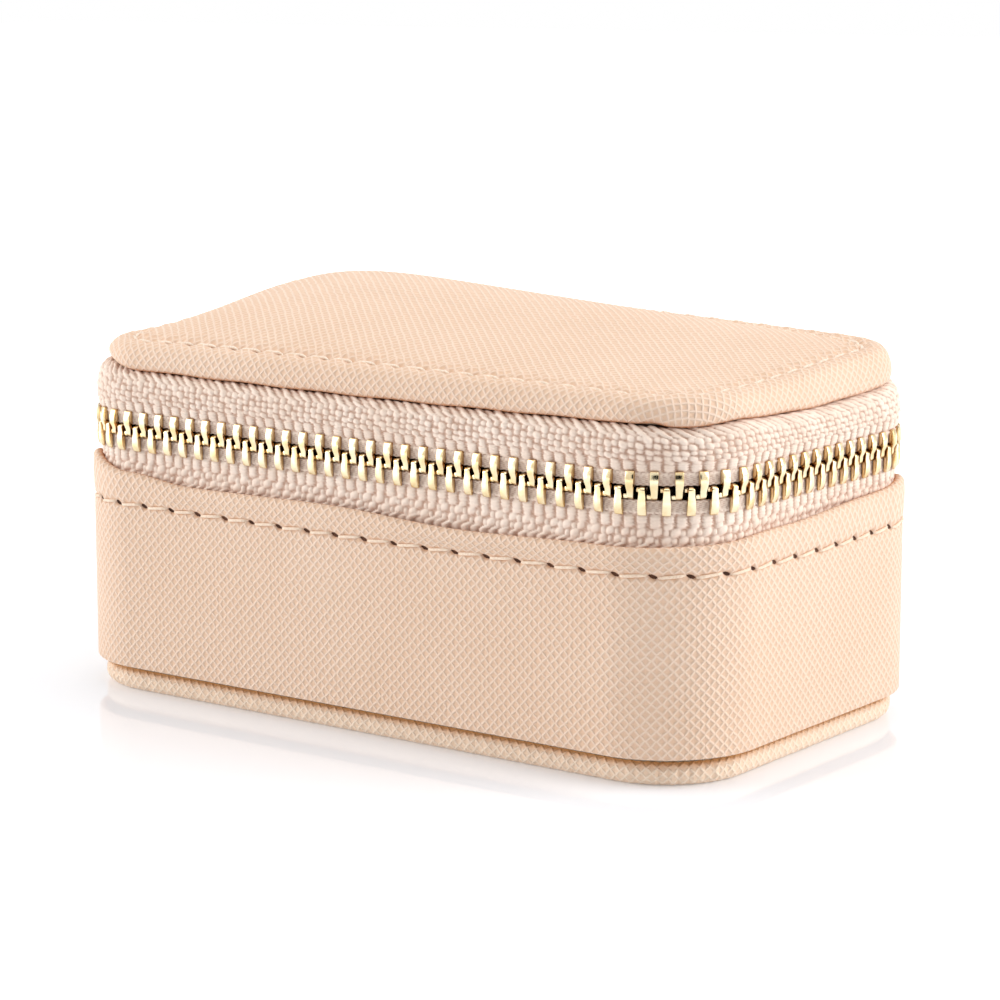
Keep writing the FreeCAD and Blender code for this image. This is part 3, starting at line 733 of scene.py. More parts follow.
def lid_points(distances, near_hole):
    """The lid's surface, and the plan, normals and row of the brink where its rim ends and its top begins."""
    outer = lid_ring(0)
    index, share = spot = spots(distances, *outer)
    under, rim, top = lid_section()
    section = np.array(under + rim + top)
    inset, z = section.T[..., None]
    brink = len(under) + len(rim) - 1
    row = np.arange(len(section))[:, None]
    on_side, on_top = row <= brink, row >= brink
    normal = ring(spot, *outer)[1]
    plan = np.array([ring(spot, *lid_ring(d))[0] for d in section[:, 0]])
    low = on_side * bump_at(z, LID_BOTTOM, 1.2)
    tuck_at = np.where(index == 5, (share - TUCK_SHARE) * spans(*outer)[5], 99.0)
    pinch = low * bump_at(tuck_at, 0.0, 1.5)
    inward = 1 - smooth(inset, 1.3, 2.8) * (row < len(under))
    curl = edge_curl(spot) * (1 - smooth(z, LID_BOTTOM + 0.8, RIM_TOP - 0.3)) * inward
    rim_rise = lid_crown(*plan[brink].T) * smooth(z, LID_BOTTOM + 0.9, RIM_TOP)
    crown = np.where(on_side, rim_rise + curl, lid_crown(plan[..., 0], plan[..., 1]))
    sunk = np.where(index == 4, FRONT_SEAM_DEPTH, SEAM_DEPTH) * bump_at(inset, LID_SEAM, 0.6)
    sunk = sunk + 0.34 * bump_at(inset, LID_SEAM, 0.5) * bump_at(near_hole, 0.0, 0.62)
    swell = 0.24 * bump_at(inset, LID_SEAM + 1.3, 0.9) + 0.2 * bump_at(inset, LID_SEAM - 1.1, 0.8)
    scallop = np.cos(np.pi * np.clip(near_hole / (LID_STITCH / 2), 0, 1))
    height = z + crown + 0.22 * pinch + 0.06 * low * np.sin(distances * 0.5)
    height = height - on_top * (sunk + swell * scallop)
    drawn_in = np.where(index == 3, 0.5 * hump(share) ** 2, 0.0) * (1 - smooth(inset, 1.0, 9.0))
    return swept(plan, normal, 0.3 * pinch + drawn_in, height), plan[brink], normal, brink


def lid_cloth(points, rim_plan, normal, brink):
    """Flat coordinates of the lid's leather: from above, and down over the rim by length."""
    steps = np.linalg.norm(np.diff(points[:brink + 1], axis=0), axis=2)
    down = np.concatenate([np.cumsum(steps[::-1], axis=0)[::-1], np.zeros((1, len(normal)))])
    cloth = points[..., :2].copy()
    cloth[:brink + 1] = rim_plan + normal * down[..., None]
    return np.concatenate([cloth, cloth[:, :1]], 1)


def make_lid():
    outline = lid_ring(LID_SEAM)
    lengths = spans(*outline)
    length = lengths.sum()
    distances = even_distances(lid_ring(0), 0.42)
    index, share = spots(distances, *lid_ring(0))
    marks = stitch_marks(length, LID_STITCH)
    along_seam = (np.cumsum(lengths) - lengths)[index] + share * lengths[index]
    near_hole = np.abs(past_mark(along_seam, marks, length))
    points, *rim = lid_points(distances, near_hole)
    leather = ("lid", "saffiano_leather", LEATHER)
    cloth = lid_cloth(points, *rim)
    piece = grid_piece("lid_cushion", points, leather, cloth, caps="first", node="lid_cover")

    def seam(at):
        plan, normal = ring(spots(np.mod(at, length), *outline), *outline)
        height = lid_level(LID_SEAM) + lid_crown(*plan.T) - 0.4
        return raised(plan, height), raised(0 * normal, 1.0), raised(normal, 0.0)

    thread = ("lid", "saffiano_leather", LID_THREAD)
    sew("lid_stitching", marks, length, seam, thread,
        radius=0.23, margin=0.22, crest=0.16, dive=0.6, slant=0.1)
    punch("lid_needle_hole_shades", marks, seam, "lid", half=(0.34, 0.2), slant=0.0, height=-0.2, dish=0.14)


def make_lid_foam():
    floor = corners("lid_foam")[0][2]
    insets = [9.0, 3.2, *np.linspace(2.6, LID_SEAM, 6), *np.linspace(LID_SEAM + 0.8, LID_Y - 0.02, 26)]
    spot = spots(even_distances(lid_ring(0), 1.0), *lid_ring(0))
    rows = []
    for number, inset in enumerate(insets):
        plan, _ = ring(spot, *lid_ring(inset))
        top = lid_level(inset) + lid_crown(*plan.T) - 1.3
        rows.append(raised(plan, floor if number < 2 else np.maximum(top, floor + 0.05)))
    foam = ("lid", "foam", FOAM)
    piece = grid_piece("lid_foam_pad", np.array(rows), foam, caps="first", node="lid_foam")


# The zip tapes: woven bands with a row of blocks beside the teeth and slanted floats beyond.

YARN = 1.66
ROW = 0.9
BLOCK_START, BLOCK_END = 1.75, 3.3
BRICK_PITCH = 2.1
BRICK_EDGE = (2.2, 2.0)
ROPE_PITCH, ROPE_ROW = 2.9, 0.42
ALONG_STEP, ACROSS_STEP = YARN / 8, ROW / 7
WEAVE_HEIGHT, WEAVE_LEVEL = 0.46, 0.75


def scatter(number, seed):
    """A steady pick between -1 and 1 for each whole number."""
    return 2 * np.mod(np.sin(number * 12.9898 + seed * 78.233) * 43758.5453, 1) - 1


def pads(u, v, first, middle, half, lean, loose, seed, pitch, square=(2.8, 2.2)):
    """A row of soft pillows along the tape: u is along it and v across it."""
    best = 0.0
    for step in (0, 1):
        number = np.floor((u - first) / pitch) + step
        along = u - first - number * pitch - loose * scatter(number, seed)
        swell = 1 + loose * scatter(number, seed + 5)
        across = v - middle - lean * along - 0.5 * loose * scatter(number, seed + 9)
        pillow = np.clip(1 - np.abs(along / (half[0] * swell)) ** square[0], 0, 1)
        pillow = pillow * np.clip(1 - np.abs(across / (half[1] * swell)) ** square[1], 0, 1)
        best = np.maximum(best, pillow ** 0.75 * (1 + loose * scatter(number, seed + 2)))
    return best


def blocks(u, v):
    """Square floats beside the teeth, tall and short by turns, each of a few ribs."""
    ribs = np.cos(2 * np.pi * (v - BLOCK_START) / 0.38)
    height = 0.9 * pads(u, v, YARN, BLOCK_END - 0.22, (0.62, 0.36), -0.2, 0.08, 6, 2 * YARN)
    for turn, reach in ((0, BLOCK_END - 0.05), (1, BLOCK_START + 1.05)):
        middle, half = (BLOCK_START + reach) / 2, (reach - BLOCK_START) / 2 + 0.08
        size = (0.7 + 0.04 * ribs, half)
        block = pads(u, v, turn * YARN, middle, size, -0.06, 0.05, turn + 3, 2 * YARN, (5, 5))
        height = np.maximum(height, block * (0.88 + 0.12 * ribs))
    return height


def weave(u, v, rope_at, brick):
    """Height of the weave, 0 to 1; v starts at the toothed edge."""
    threads = np.sin(4 * np.pi * u / YARN + 3 * np.floor(v / 0.42)) * np.cos(2 * np.pi * v / 0.42)
    layers = [(0.55 + 0.27 * threads) * (1 - 0.5 * smooth(v, BLOCK_START - 0.3, BLOCK_START + 0.1))]
    layers.append(0.8 * pads(u, v, 0.2, BLOCK_START - 0.3, (0.27, 0.26), 0.2, 0.06, 1, YARN / 3))
    layers.append(blocks(u, v))
    knot = (BRICK_PITCH / 2 - brick + 0.06, 0.44)
    for row in range(int(round((rope_at - BLOCK_END) / ROW))):
        middle = BLOCK_END + (row + 0.45) * ROW
        first = -(0.5 * BRICK_PITCH + 0.07) * (row + 1)
        layers.append(pads(u, v, first, middle, (brick, 0.54), -0.3, 0.12, row + 11, BRICK_PITCH, BRICK_EDGE))
        first += BRICK_PITCH / 2
        knots = pads(u, v, first, middle + 0.1, knot, -0.2, 0.12, row + 31, BRICK_PITCH, BRICK_EDGE)
        layers.append(0.85 * knots)
    for row in range(5):
        middle = rope_at + (row + 0.4) * ROPE_ROW
        for turn, tall in ((0, 1.0), (1, 0.72)):
            first = turn * ROPE_PITCH / 2 - 0.5 * row
            seed = row + 51 + 7 * turn
            layers.append(tall * pads(u, v, first, middle, (1.0, 0.28), -0.36, 0.12, seed, ROPE_PITCH))
    return np.clip(np.max(np.broadcast_arrays(*layers), 0), 0, 1)


def chain_rise(spot):
    """The zip runs a little higher along the front and the right than on the left."""
    index, share = spot
    ramp = np.where(index == 3, smooth(share, 0.1, 0.9), 1.0)
    ramp = np.where(index == 7, 1 - smooth(share, 0.6, 1.0), ramp)
    return 0.5 * np.where((index >= 3) & (index <= 7), ramp, 0.0)


def zip_parting(distances, outline):
    """1 where the tapes meet past the zip's ends, 0 along the teeth."""
    lengths = spans(*outline)
    ends = np.cumsum(lengths)
    left_end = ends[1] - 1.6
    right_end = ends[6] + lengths[7] * 0.6
    return 1 - smooth(distances, left_end - 2.5, left_end) * smooth(distances, right_end + 2.5, right_end)


def tape_shift(inset, z, spot, parted, sign):
    """Heights of a tape that closes up past the zip's ends and follows the lid's edge."""
    reach = np.clip(1 - sign * (z - CHAIN_Z - sign * TAPE_EDGE) / BLOCK_START, 0, 1)
    z = z - sign * reach * (TAPE_EDGE - 0.1) * parted
    from_chain = np.abs(z - CHAIN_Z)
    z = z + chain_rise(spot) * (1 - smooth(from_chain, 2.5, 7.0))
    if sign > 0:
        z = z + edge_curl(spot) * smooth(from_chain, 3.0, 8.0) * (1 - smooth(inset, 1.9, 3.4))
    return z


def tape_band(name, node, section, body, sign, woven_to, rope_at, brick):
    """A band along the case's outline; section runs from the toothed edge as (inset, z)."""
    outline = case_outline(TAPE_INSET)
    open_half = HINGE_HIGH[0] + 0.4
    length = spans(*outline).sum() - 2 * open_half
    count = int(length / ALONG_STEP)
    distances = open_half + np.arange(count + 1) * length / count
    spot = spots(distances, *outline)
    section = np.array(section)
    run = running(section)
    across = np.concatenate([np.arange(0, woven_to, ACROSS_STEP), np.linspace(woven_to, run[-1], 5)])
    middle = np.column_stack([np.interp(across, run, axis) for axis in section.T])
    ahead = unit(np.gradient(middle, across, axis=0))
    away = sign * np.column_stack([-ahead[:, 1], ahead[:, 0]])
    relief = weave(distances, across[:, None], rope_at, brick)
    relief = relief * smooth(across, woven_to + 0.4, woven_to)[:, None]
    face = middle[:, None] + away[:, None] * WEAVE_HEIGHT * (relief - WEAVE_LEVEL)[..., None]
    back = np.linspace(len(across) - 1, 0, 7).astype(int)
    behind = np.repeat((middle - away * TAPE_THICKNESS)[back, None], len(distances), 1)
    inset, z = np.moveaxis(np.concatenate([face, behind]), -1, 0)
    inset = inset - TAPE_INSET
    z = tape_shift(inset, z, spot, zip_parting(distances, outline), sign)
    points = swept(*ring(spot, *outline), inset, z)
    whole_run = np.concatenate([across, 2 * run[-1] - across[back], [2 * run[-1]]])
    # The weave's height for each point; the tape's material uses it as the mask of its painted shade.
    shade = np.concatenate([relief, np.full(behind.shape[:2], 0.7)])
    piece = grid_piece(name, points, (body, "zip_tape", TAPE), cloth_grid(whole_run, distances),
                       loops=(True, False), caps="columns", relief=shade, node=node)


def make_tapes():
    shoulder, bulge = 2.0, 0.6
    top = UPPER_HIGH[2]
    rise = [(TAPE_INSET, z) for z in np.linspace(UPPER_LOW[2], top - shoulder, 24)]
    rise += bend_points((TAPE_INSET + shoulder, top - shoulder), shoulder, 180, 90, 14)[1:]
    upper = [(inset - bulge * bump_at(z, CHAIN_Z + 4.9, 2.3), z) for inset, z in rise]
    upper.append((TAPE_INSET + 4.6, top))
    tape_band("zip_tape_upper", "tape_upper", upper, "lid", sign=1, woven_to=8.9,
              rope_at=BLOCK_END + 4 * ROW, brick=0.62)
    lower = [(TAPE_INSET, TAPE_HIGH[2]), (TAPE_INSET, TAPE_LOW[2])]
    tape_band("zip_tape_lower", "tape_lower", lower, "case_base", sign=-1, woven_to=5.6,
              rope_at=BLOCK_END + 2 * ROW, brick=0.74)


# The zip's metal: teeth clamped over the tape's edge, with a nub on one side of each head.

TOOTH_PITCH = 2.82
TOOTH_WIDTH = 1.11
TOOTH_LEG = 2.75
TOOTH_REACH = 0.8
TOOTH_TAPER = 0.26
FIRST_TOOTH = 13.0
TEETH = 63
LEFT_TEETH = 7
STOP_WIDTH, STOP_LEG = 1.8, 2.4
CHAIN = case_outline(CHAIN_INSET)
CHAIN_START = spans(*CHAIN)[:2].sum()


def shell_data(shell):
    shell.verts.index_update()
    points = np.array([v.co[:] for v in shell.verts])
    faces = [[v.index for v in face.verts] for face in shell.faces]
    shell.free()
    return points, faces


def round_edges(shell, edges, offset, **options):
    bmesh.ops.bevel(shell, geom=edges, offset=offset, segments=2, profile=0.6, affect="EDGES", **options)


def clamp_shape(width, leg, reach, faces, taper=0.0):
    """A clamp about the zip's line; faces are how far out its head, the dip behind it and its leg stand.

    Axes are out of the face, along the zip and towards the head."""
    head, dip, out = faces
    slot = TAPE_THICKNESS / 2 + 0.05
    half = [(head - 0.3, reach), (head, reach - 0.3), (dip, reach - 1.0), (out, reach - 1.7),
            (out, 0.95 - leg), (out - 0.24, 0.12 - leg), (out - 0.36, -leg), (slot, -leg),
            (slot, 0.05 - TAPE_EDGE)]
    section = half + [(-n, w) for n, w in reversed(half)]
    shell = bmesh.new()
    face = shell.faces.new([shell.verts.new((n, -width / 2, w)) for n, w in section])
    grown = bmesh.ops.extrude_face_region(shell, geom=[face])
    moved = [v for v in grown["geom"] if isinstance(v, bmesh.types.BMVert)]
    bmesh.ops.translate(shell, verts=moved, vec=(0, width, 0))
    bmesh.ops.recalc_face_normals(shell, faces=shell.faces)
    crisp = [e for e in shell.edges if e.calc_face_angle(0) > 0.55]
    round_edges(shell, crisp, 0.15, clamp_overlap=True)
    for v in shell.verts:
        share = (v.co.z + leg) / (reach + leg)
        tip = np.clip((v.co.z - reach + 0.4) / 0.4, 0, 1)
        v.co.y *= (1 - taper * smooth(share, 0.3, 0.9)) * (1 - 0.35 * bool(taper) * tip ** 2)
    return shell_data(shell)


def nub_shape(deep, wide):
    """The small lug that a head turns towards its neighbour."""
    shell = bmesh.new()
    bmesh.ops.create_cube(shell, size=1.0)
    for v in shell.verts:
        v.co = (v.co.x * deep, (v.co.y - 0.9) * wide, 0.4 + v.co.z * 0.6)
    round_edges(shell, shell.edges[:], 0.16)
    return shell_data(shell)


def on_chain(shape, distance, toward):
    """The shape at a distance along the zip, on the lower tape for +1 or the upper one for -1."""
    points, faces = shape
    spot = spots(np.array([CHAIN_START + distance]), *CHAIN)
    plan, normal = ring(spot, *CHAIN)
    out = np.append(normal[0], 0)
    along = np.array([-out[1], out[0], 0])
    origin = np.append(plan[0], CHAIN_Z + chain_rise(spot)[0])
    placed = origin + points[:, :1] * out + points[:, 1:2] * along
    placed[:, 2] += toward * points[:, 2]
    return placed, faces if toward > 0 else [face[::-1] for face in faces]


def zip_piece(node, shapes, body):
    new_piece(f"zip_{node}", *gather(shapes), (body, "zip_metal", ZIP_METAL), sharp=40, node=node)


def make_teeth():
    sides = (("lower", 1, 0.25, "case_base", (1.06, 0.98, 1.07), (1.1, 0.56)),
             ("upper", -1, 0.75, "lid", (0.84, 0.88, 1.2), (1.44, 0.67)))
    for tape, toward, phase, body, out, nub in sides:
        clamp = clamp_shape(TOOTH_WIDTH, TOOTH_LEG, TOOTH_REACH, out, TOOTH_TAPER)
        tooth = gather([clamp, nub_shape(*nub)])
        placed = [on_chain(tooth, FIRST_TOOTH + (k + phase) * TOOTH_PITCH, toward) for k in range(TEETH)]
        zip_piece(f"teeth_{tape}_left", placed[:LEFT_TEETH], body)
        zip_piece(f"teeth_{tape}", placed[LEFT_TEETH:], body)
        stop = clamp_shape(STOP_WIDTH, STOP_LEG, reach=-0.7, faces=(1.2, 1.24, 1.26))
        zip_piece(f"top_stop_{tape}", [on_chain(stop, -0.3, toward)], body)
    end = clamp_shape(STOP_WIDTH, TOOTH_LEG, reach=0.0, faces=(1.2, 1.24, 1.28))
    zip_piece("bottom_stop", [on_chain(end, FIRST_TOOTH + TEETH * TOOTH_PITCH + 1.3, 1)], "case_base")


# The slider: two shaped plates with turned-in lips, a wedge, an arched bridge and a hanging pull.

SLIDER_LOW, SLIDER_HIGH = corners("slider_body")
SLIDER_X = CHAIN_INSET - WALL_HIGH[0]
SLIDER_Y = (SLIDER_LOW[1] + SLIDER_HIGH[1]) / 2
SLIDER_HALF = (SLIDER_HIGH[1] - SLIDER_LOW[1]) / 2
SLIDER_WIDE = (SLIDER_HIGH[2] - SLIDER_LOW[2]) / 2
SLIDER_NARROW = SLIDER_WIDE - 0.3
PLATE_IN, PLATE_OUT = 1.55, 2.55
PULL_JOINT = next(joint for joint in frame["joints"] if joint["name"] == "pull_swing")
BAR_OUT = SLIDER_X - PULL_JOINT["pos_m"][0] / MM


def slider_place(along, up, out):
    """Slider axes to the frame: along to the back, up, and out of the left side."""
    along, up, out = np.broadcast_arrays(along, up, out)
    return np.stack([SLIDER_X - out, SLIDER_Y + along, CHAIN_Z + up], -1)


def slider_height(along):
    return SLIDER_NARROW + (SLIDER_WIDE - SLIDER_NARROW) * smooth(along, -SLIDER_HALF, SLIDER_HALF * 0.6)


def slab(name, outline, levels, finish, sharp=35):
    """A plate across the slider's outward axis: an outline, and levels of (out, inset)."""
    outline = np.asarray(outline, float)
    after, before = np.roll(outline, -1, 0), np.roll(outline, 1, 0)
    along = unit(unit(after - outline) + unit(outline - before))
    turn = np.sign(np.sum(outline[:, 0] * after[:, 1] - after[:, 0] * outline[:, 1]))
    inward = np.column_stack([-along[:, 1], along[:, 0]]) * turn
    points = np.array([slider_place(*(outline + inward * inset).T, out) for out, inset in levels])
    return grid_piece(name, points, finish, sharp=sharp)


def make_slider():
    turn, power = full_turn(64), 2 / 5.5
    along = SLIDER_HALF * blunt(np.cos(turn), power)
    outline = np.column_stack([along, blunt(np.sin(turn), power) * slider_height(along)])
    levels = [(PLATE_IN, 0.15), (PLATE_IN + 0.12, 0.0), (PLATE_OUT - 0.4, 0.0), (PLATE_OUT - 0.12, 0.14),
              (PLATE_OUT, 0.45)]
    pieces = []
    for side in (1, -1):
        shaped = [(side * out, inset) for out, inset in levels]
        pieces.append(slab(f"plate{side}", outline, shaped, SLIDER))
        pieces += [slider_lip(side, edge) for edge in (1, -1)]
    wedge = [(-1.4, 0), (-1.0, 0.55), (0.9, 0.7), (1.5, 0.4), (1.5, -0.4), (0.9, -0.7), (-1.0, -0.55)]
    wedge = np.array(wedge) + (SLIDER_HALF - 1.6, 0)
    pieces.append(slab("wedge", wedge, [(-1.6, 0.0), (1.6, 0.0)], SLIDER))
    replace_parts(joined(pieces, "zip_slider_body"), "slider_body")


def slider_lip(side, edge):
    """A plate's long edge turned in towards the tape."""
    section = [(0.68, 0.12), (0.62, 0.3), (0.62, 0.8), (0.72, 0.95), (1.8, 0.95), (1.8, 0.1)]
    out, up = np.array(section).T
    along = np.linspace(0.7 - SLIDER_HALF, SLIDER_HALF - 0.7, 14)[:, None]
    ease = 0.25 * (1 - smooth(SLIDER_HALF - np.abs(along), 0.6, 2.0))
    points = slider_place(along, edge * (slider_height(along) - 0.98 + up), side * (out + ease))
    return grid_piece(f"lip{side}{edge}", points, SLIDER, sharp=50)


def make_bridge():
    """A strap that rises from the outer plate and thins to a round bar."""
    foot, bend = 3.0, 0.75
    path = [(PLATE_OUT - 0.25, -foot), (BAR_OUT - bend - 0.4, -foot)]
    path += bend_points((BAR_OUT - bend, bend - foot), bend, -90, 0, 7)
    path += [(BAR_OUT, a) for a in np.linspace(-1.6, 1.6, 5)]
    path += [(out, -a) for out, a in reversed(path[:9])]
    path = np.array(path)
    bar = smooth(path[:, 0], PLATE_OUT, BAR_OUT - 0.1)[:, None]
    power = 0.6 + 0.4 * bar
    turn = full_turn(16)
    aside = (0.65 - 0.05 * bar) * blunt(np.cos(turn), power)
    out, along = (path[:, None] + across_path(path)[:, None] * aside[..., None]).transpose(2, 0, 1)
    points = slider_place(along, (0.9 - 0.3 * bar) * blunt(np.sin(turn), power), out)
    grid_piece("zip_slider_bridge", points, SLIDER, node="slider_bridge")


def make_pull():
    """A flat blade with a rounded tip, hung by an eye on the bridge's bar."""
    neck, blade, tip, face = 2.2, 3.2, 21.6, 0.6
    edge = [(neck, -1.0), (neck, -1.9), (neck + 0.25, -2.4), (blade - 0.2, -3.3), (blade, -4.2),
            (blade, -12.0), (blade, -tip)]
    first = math.degrees(0.12)
    edge += bend_points((0, -tip), blade, -first, first - 180, 22)
    edge += [(-along, up) for along, up in reversed(edge[:7])]
    half = [(0.0, 0.0), (face - 0.22, 0.0), (face - 0.06, 0.07), (face, 0.22), (face, 0.8),
            (face - 0.05, 0.86), (face - 0.2, 0.98), (face - 0.22, 1.05)]
    levels = [(BAR_OUT - out, inset) for out, inset in reversed(half[1:])]
    levels += [(BAR_OUT + out, inset) for out, inset in half]
    flat = slab("pull_blade", edge, levels, PULL, 40)
    rim = [(0.7, -2.05), (0.78, -2.17), (1.35, -2.2), (1.5, -2.05)]
    radius, along = np.array(rim + [(r, -a) for r, a in reversed(rim)]).T
    turn = full_turn(36)[:, None]
    points = slider_place(along, radius * np.sin(turn), BAR_OUT + radius * np.cos(turn))
    eye = grid_piece("pull_eye", points, PULL, loops=(True, True), caps="none", sharp=40)
    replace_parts(joined([flat, eye], "zip_pull_tab"), "pull_tab")


# The back: the leather strip of the hinge, built in its closed shape.

def make_hinge():
    shoulder, thick = 1.4, 0.75
    reach = HINGE_HIGH[0] + 1.1
    face, top = HINGE_HIGH[1:]
    across = np.linspace(-reach, reach, 176)
    turned = bend_points((face - shoulder, top - shoulder), shoulder, 0, 90, 8)[1:]
    outside = [(face - 0.02, z) for z in np.linspace(HINGE_LOW[2], WALL_HIGH[2] - 0.4, 8)]
    outside += [(face + 0.22, z) for z in np.linspace(WALL_HIGH[2] + 0.5, top - shoulder, 30)]
    outside += [(y + 0.12, z) for y, z in turned]
    outside = np.array(outside + [(HINGE_LOW[1] + 0.2, top)])
    outside[:, 0] -= 0.18 * bump_at(outside[:, 1], CHAIN_Z, 1.2) * (outside[:, 0] > face)
    inside = outside + across_path(outside) * thick
    section = np.concatenate([outside, inside[::-1]])
    run = running(section)
    y, z = section.T[..., None]
    end = np.minimum(1, (reach - np.abs(across)) / 0.5)
    y = y - 0.25 * (1 - end) ** 2 * (y > face)
    points = np.stack(np.broadcast_arrays(across, y, z), -1)
    cloth = cloth_grid(np.append(run, run[-1] + thick), across)
    piece = grid_piece("back_hinge", points, (None, "saffiano_leather", LEATHER), cloth,
                       loops=(True, False), caps="columns", node="hinge_strip")
    low, high = [(0, (face - 0.35) * MM, (CHAIN_Z + side * 4.2) * MM) for side in (-1, 1)]
    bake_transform(piece)
    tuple(low)
    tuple(high)


# The inside: velvet tray, ring rolls, dividers, lid panel and mirror.

def make_tray():
    floor, top = LINING_LOW[2] + 0.8, LINING_HIGH[2] + 0.35
    outer, inner, fillet = 3.3, 4.1, 1.6
    path = [(29.9, LINING_LOW[2]), (14.0, LINING_LOW[2]), (outer, LINING_LOW[2]), (outer, top - 1.6),
            (2.1, top - 1.2)]
    path += bend_points((3.1, top - 0.8), 1.0, 180, 0, 12)
    path += [(inner, z) for z in np.linspace(top - 1.6, floor + fillet + 0.8, 18)]
    path += bend_points((inner + fillet, floor + fillet), fillet, 180, 270, 8)
    path += [(inset, floor) for inset in np.linspace(7.0, 29.9, 18)]

    def radii_of(_, half_d):
        return (max(CORNER - WALL_HIGH[1] + half_d, min(2.0, half_d)),) * 4

    loft("velvet_tray", WALL_HIGH, np.zeros(2), path, radii_of, case_outline(inner), 1.0, CASE_VELVET,
         caps="none", node="tray_lining")


def make_roll(number):
    node = f"ring_roll_{number}"
    low, high = corners(node)
    half_w = (high[0] - low[0]) / 2
    right, crest = 3.1, 4.6
    left = 9.1 if number == 1 else right
    shelf = high[2] - crest

    def radii_of(wide, deep):
        rounds = (left, left, right, right)
        return tuple(float(np.clip(r - half_w + wide, 0.35, min(wide, deep))) for r in rounds)

    path = [(0.8, low[2]), (0.25, low[2] + 0.4), (0.05, low[2] + 1.4)]
    path += [(0.02 + 0.05 * math.sin(k), low[2] + 1.4 + k * 2.2) for k in range(1, 5)]
    path += bend_points((crest * 1.15, shelf), (crest * 1.15, crest), 180, 90, 14)
    deep = [1.0 if z < shelf else 0.8 for _, z in path]
    piece = boxed(f"ring_roll_pad_{number}", node, path, radii_of, 0.55, CASE_VELVET, deep=deep)


def make_divider(node, name):
    low, high = corners(node)
    thin = min((high - low)[:2]) / 2
    path = [(0.25, low[2]), (0.03, low[2] + 0.4)]
    path += [(0.03, z) for z in np.linspace(low[2] + 2, high[2] - thin - 0.2, 8)]
    first = 180 - math.degrees(0.1)
    path += bend_points((thin * 0.92, high[2] - thin), (thin * 0.92, thin), first, 90, 7)
    boxed(name, node, path, lambda wide, deep: (min(wide, deep) * 0.85,) * 4, 0.5, CASE_VELVET)


def make_lid_inside():
    low, high = [corner[2] for corner in corners("lid_lining")]
    path = [(0.3, high), (0.02, high - 0.15), (0.0, high - 0.45), (0.25, low + 0.05), (0.9, low),
            (3.0, low + 0.02), (9.0, low + 0.02)]
    boxed("lid_velvet_panel", "lid_lining", path,
          lambda wide, _: (max(CORNER - WALL_HIGH[0] + wide, 1.0),) * 4, 1.0, ("lid", "velvet", LID_VELVET))
    half_w = corners("lid_mirror")[1][0]
    low, high = [corner[2] for corner in corners("lid_mirror")]
    path = [(0.15, high), (0.0, high - 0.12), (0.0, low + 0.55), (0.06, low + 0.45), (1.9, low), (1.95, low)]
    boxed("lid_mirror_glass", "lid_mirror", path,
          lambda wide, _: (max(4.0 - half_w + wide, 1.2),) * 4, 0.8, ("lid", "mirror_glass", MIRROR), sharp=8)


def dress_inner_nodes():
    for node in ("base_board", "wall_board", "lid_board"):
        slots = frame["nodes"][node].data.materials
        slots.clear()
        slots.append(BOARD)


# The stage.

CAMERA_AZIMUTH, CAMERA_HEIGHT = math.radians(36.41), math.radians(10.18)
CAMERA_DISTANCE, CAMERA_LENS = 414.3, 109.5
CAMERA_TARGET = (1.84, 0.0, 27.14)
LIGHT_TARGET = (0, 0, 0.03)


def aim(thing, place, target):
    thing.location = place
    thing.rotation_euler = (Vector(target) - Vector(place)).to_track_quat("-Z", "Y").to_euler()


def camera_side(height):
    """Direction from the case to the camera's side, at an angle above the floor."""
    level = math.cos(height)
    return Vector((math.sin(CAMERA_AZIMUTH) * level, -math.cos(CAMERA_AZIMUTH) * level, math.sin(height)))


def make_camera():
    camera = add("camera", bpy.data.cameras.new("camera"))
    camera.data.lens = CAMERA_LENS
    camera.data.sensor_width = 36
    camera.data.clip_start, camera.data.clip_end = 0.01, 20
    target = Vector(CAMERA_TARGET) * MM
    aim(camera, target + camera_side(CAMERA_HEIGHT) * CAMERA_DISTANCE * MM, target)
    bpy.context.scene.camera = camera


def area_light(name, place, size, power):
    lamp = bpy.data.lights.new(name, "AREA")
    lamp.shape = "RECTANGLE"
    lamp.size, lamp.size_y = size
    lamp.energy = power
    aim(add(name, lamp), place, LIGHT_TARGET)


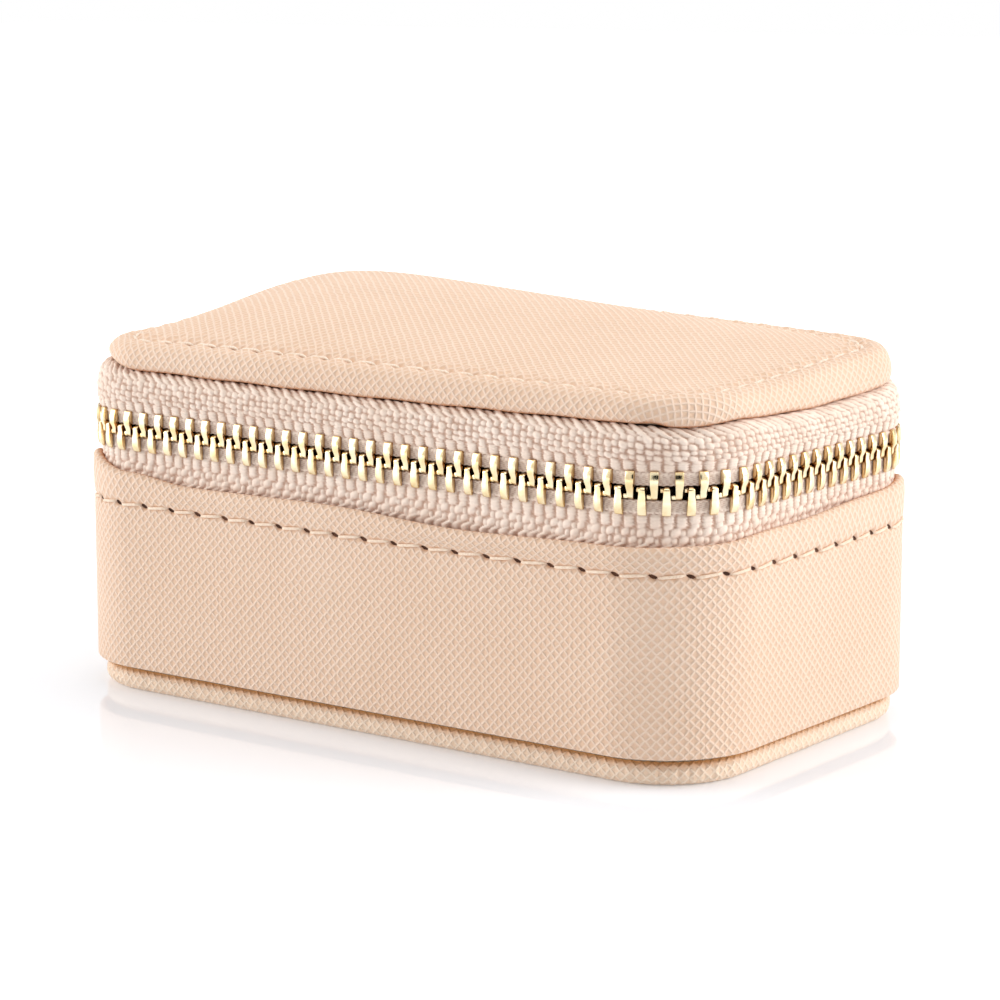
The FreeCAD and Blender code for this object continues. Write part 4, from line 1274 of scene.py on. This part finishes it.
def make_world():
    world = bpy.data.worlds.new("studio")
    bpy.context.scene.world = world
    look = Look(world, "Background")
    look.set(Color=(1, 1, 1, 1), Strength=look.remap(look.seen(), 0.0, 1.0, 0.42, 1.0))


def panel(name, half_w, half_d, look):
    """A flat sheet of the stage."""
    mesh = bpy.data.meshes.new(name)
    edge = [(-half_w, -half_d, 0), (half_w, -half_d, 0), (half_w, half_d, 0), (-half_w, half_d, 0)]
    mesh.from_pydata(edge, [], [(0, 1, 2, 3)])
    mesh.materials.append(look.holder)
    thing = add(name, mesh)
    return thing


def make_floor():
    look = new_look("floor")
    look.set(Base_Color=(0.84, 0.86, 0.9, 1), Roughness=0.06, Specular_IOR_Level=0.24)
    reach = look.node("VectorMath", {0: look.place()}, "Value", operation="LENGTH")
    glow = look.remap(reach, 0.06, 0.3, 0.125, 0.8)
    lit = look.node("Mix", {0: look.seen(), 2: 0.18, 3: glow}, data_type="FLOAT")
    look.set(Emission_Color=(0.95, 0.975, 1, 1), Emission_Strength=lit)
    panel("floor", 3.0, 3.0, look)


def make_dark_card():
    """A dark panel above the camera, seen only in polished metal."""
    look = new_look("dark_card")
    look.set(Base_Color=(0.01, 0.01, 0.01, 1), Roughness=1.0, Specular_IOR_Level=0.0)
    card = panel("dark_card", 0.3, 0.16, look)
    aim(card, camera_side(math.radians(24)) * 0.7, LIGHT_TARGET)
    card.visible_camera = card.visible_diffuse = card.visible_shadow = card.visible_transmission = False


def make_stage():
    bpy.context.scene.view_settings.view_transform = "Standard"
    make_camera()
    make_world()
    make_floor()
    make_dark_card()
    area_light("right_softbox", (0.7, 0.35, 0.4), (0.7, 0.7), 6.3)
    area_light("left_softbox", (-0.74, -0.44, 0.31), (0.95, 0.8), 7.1)
    area_light("top_softbox", (0.0, 0.1, 0.9), (0.9, 0.9), 3.35)


make_base()
make_wall()
make_lid()
make_lid_foam()
make_tapes()
make_teeth()
make_slider()
make_bridge()
make_pull()
make_hinge()
make_tray()
for roll in range(1, 5):
    make_roll(roll)
make_divider("divider_wall", "velvet_divider")
make_divider("cross_divider", "velvet_cross_divider")
make_lid_inside()
dress_inner_nodes()
make_stage()
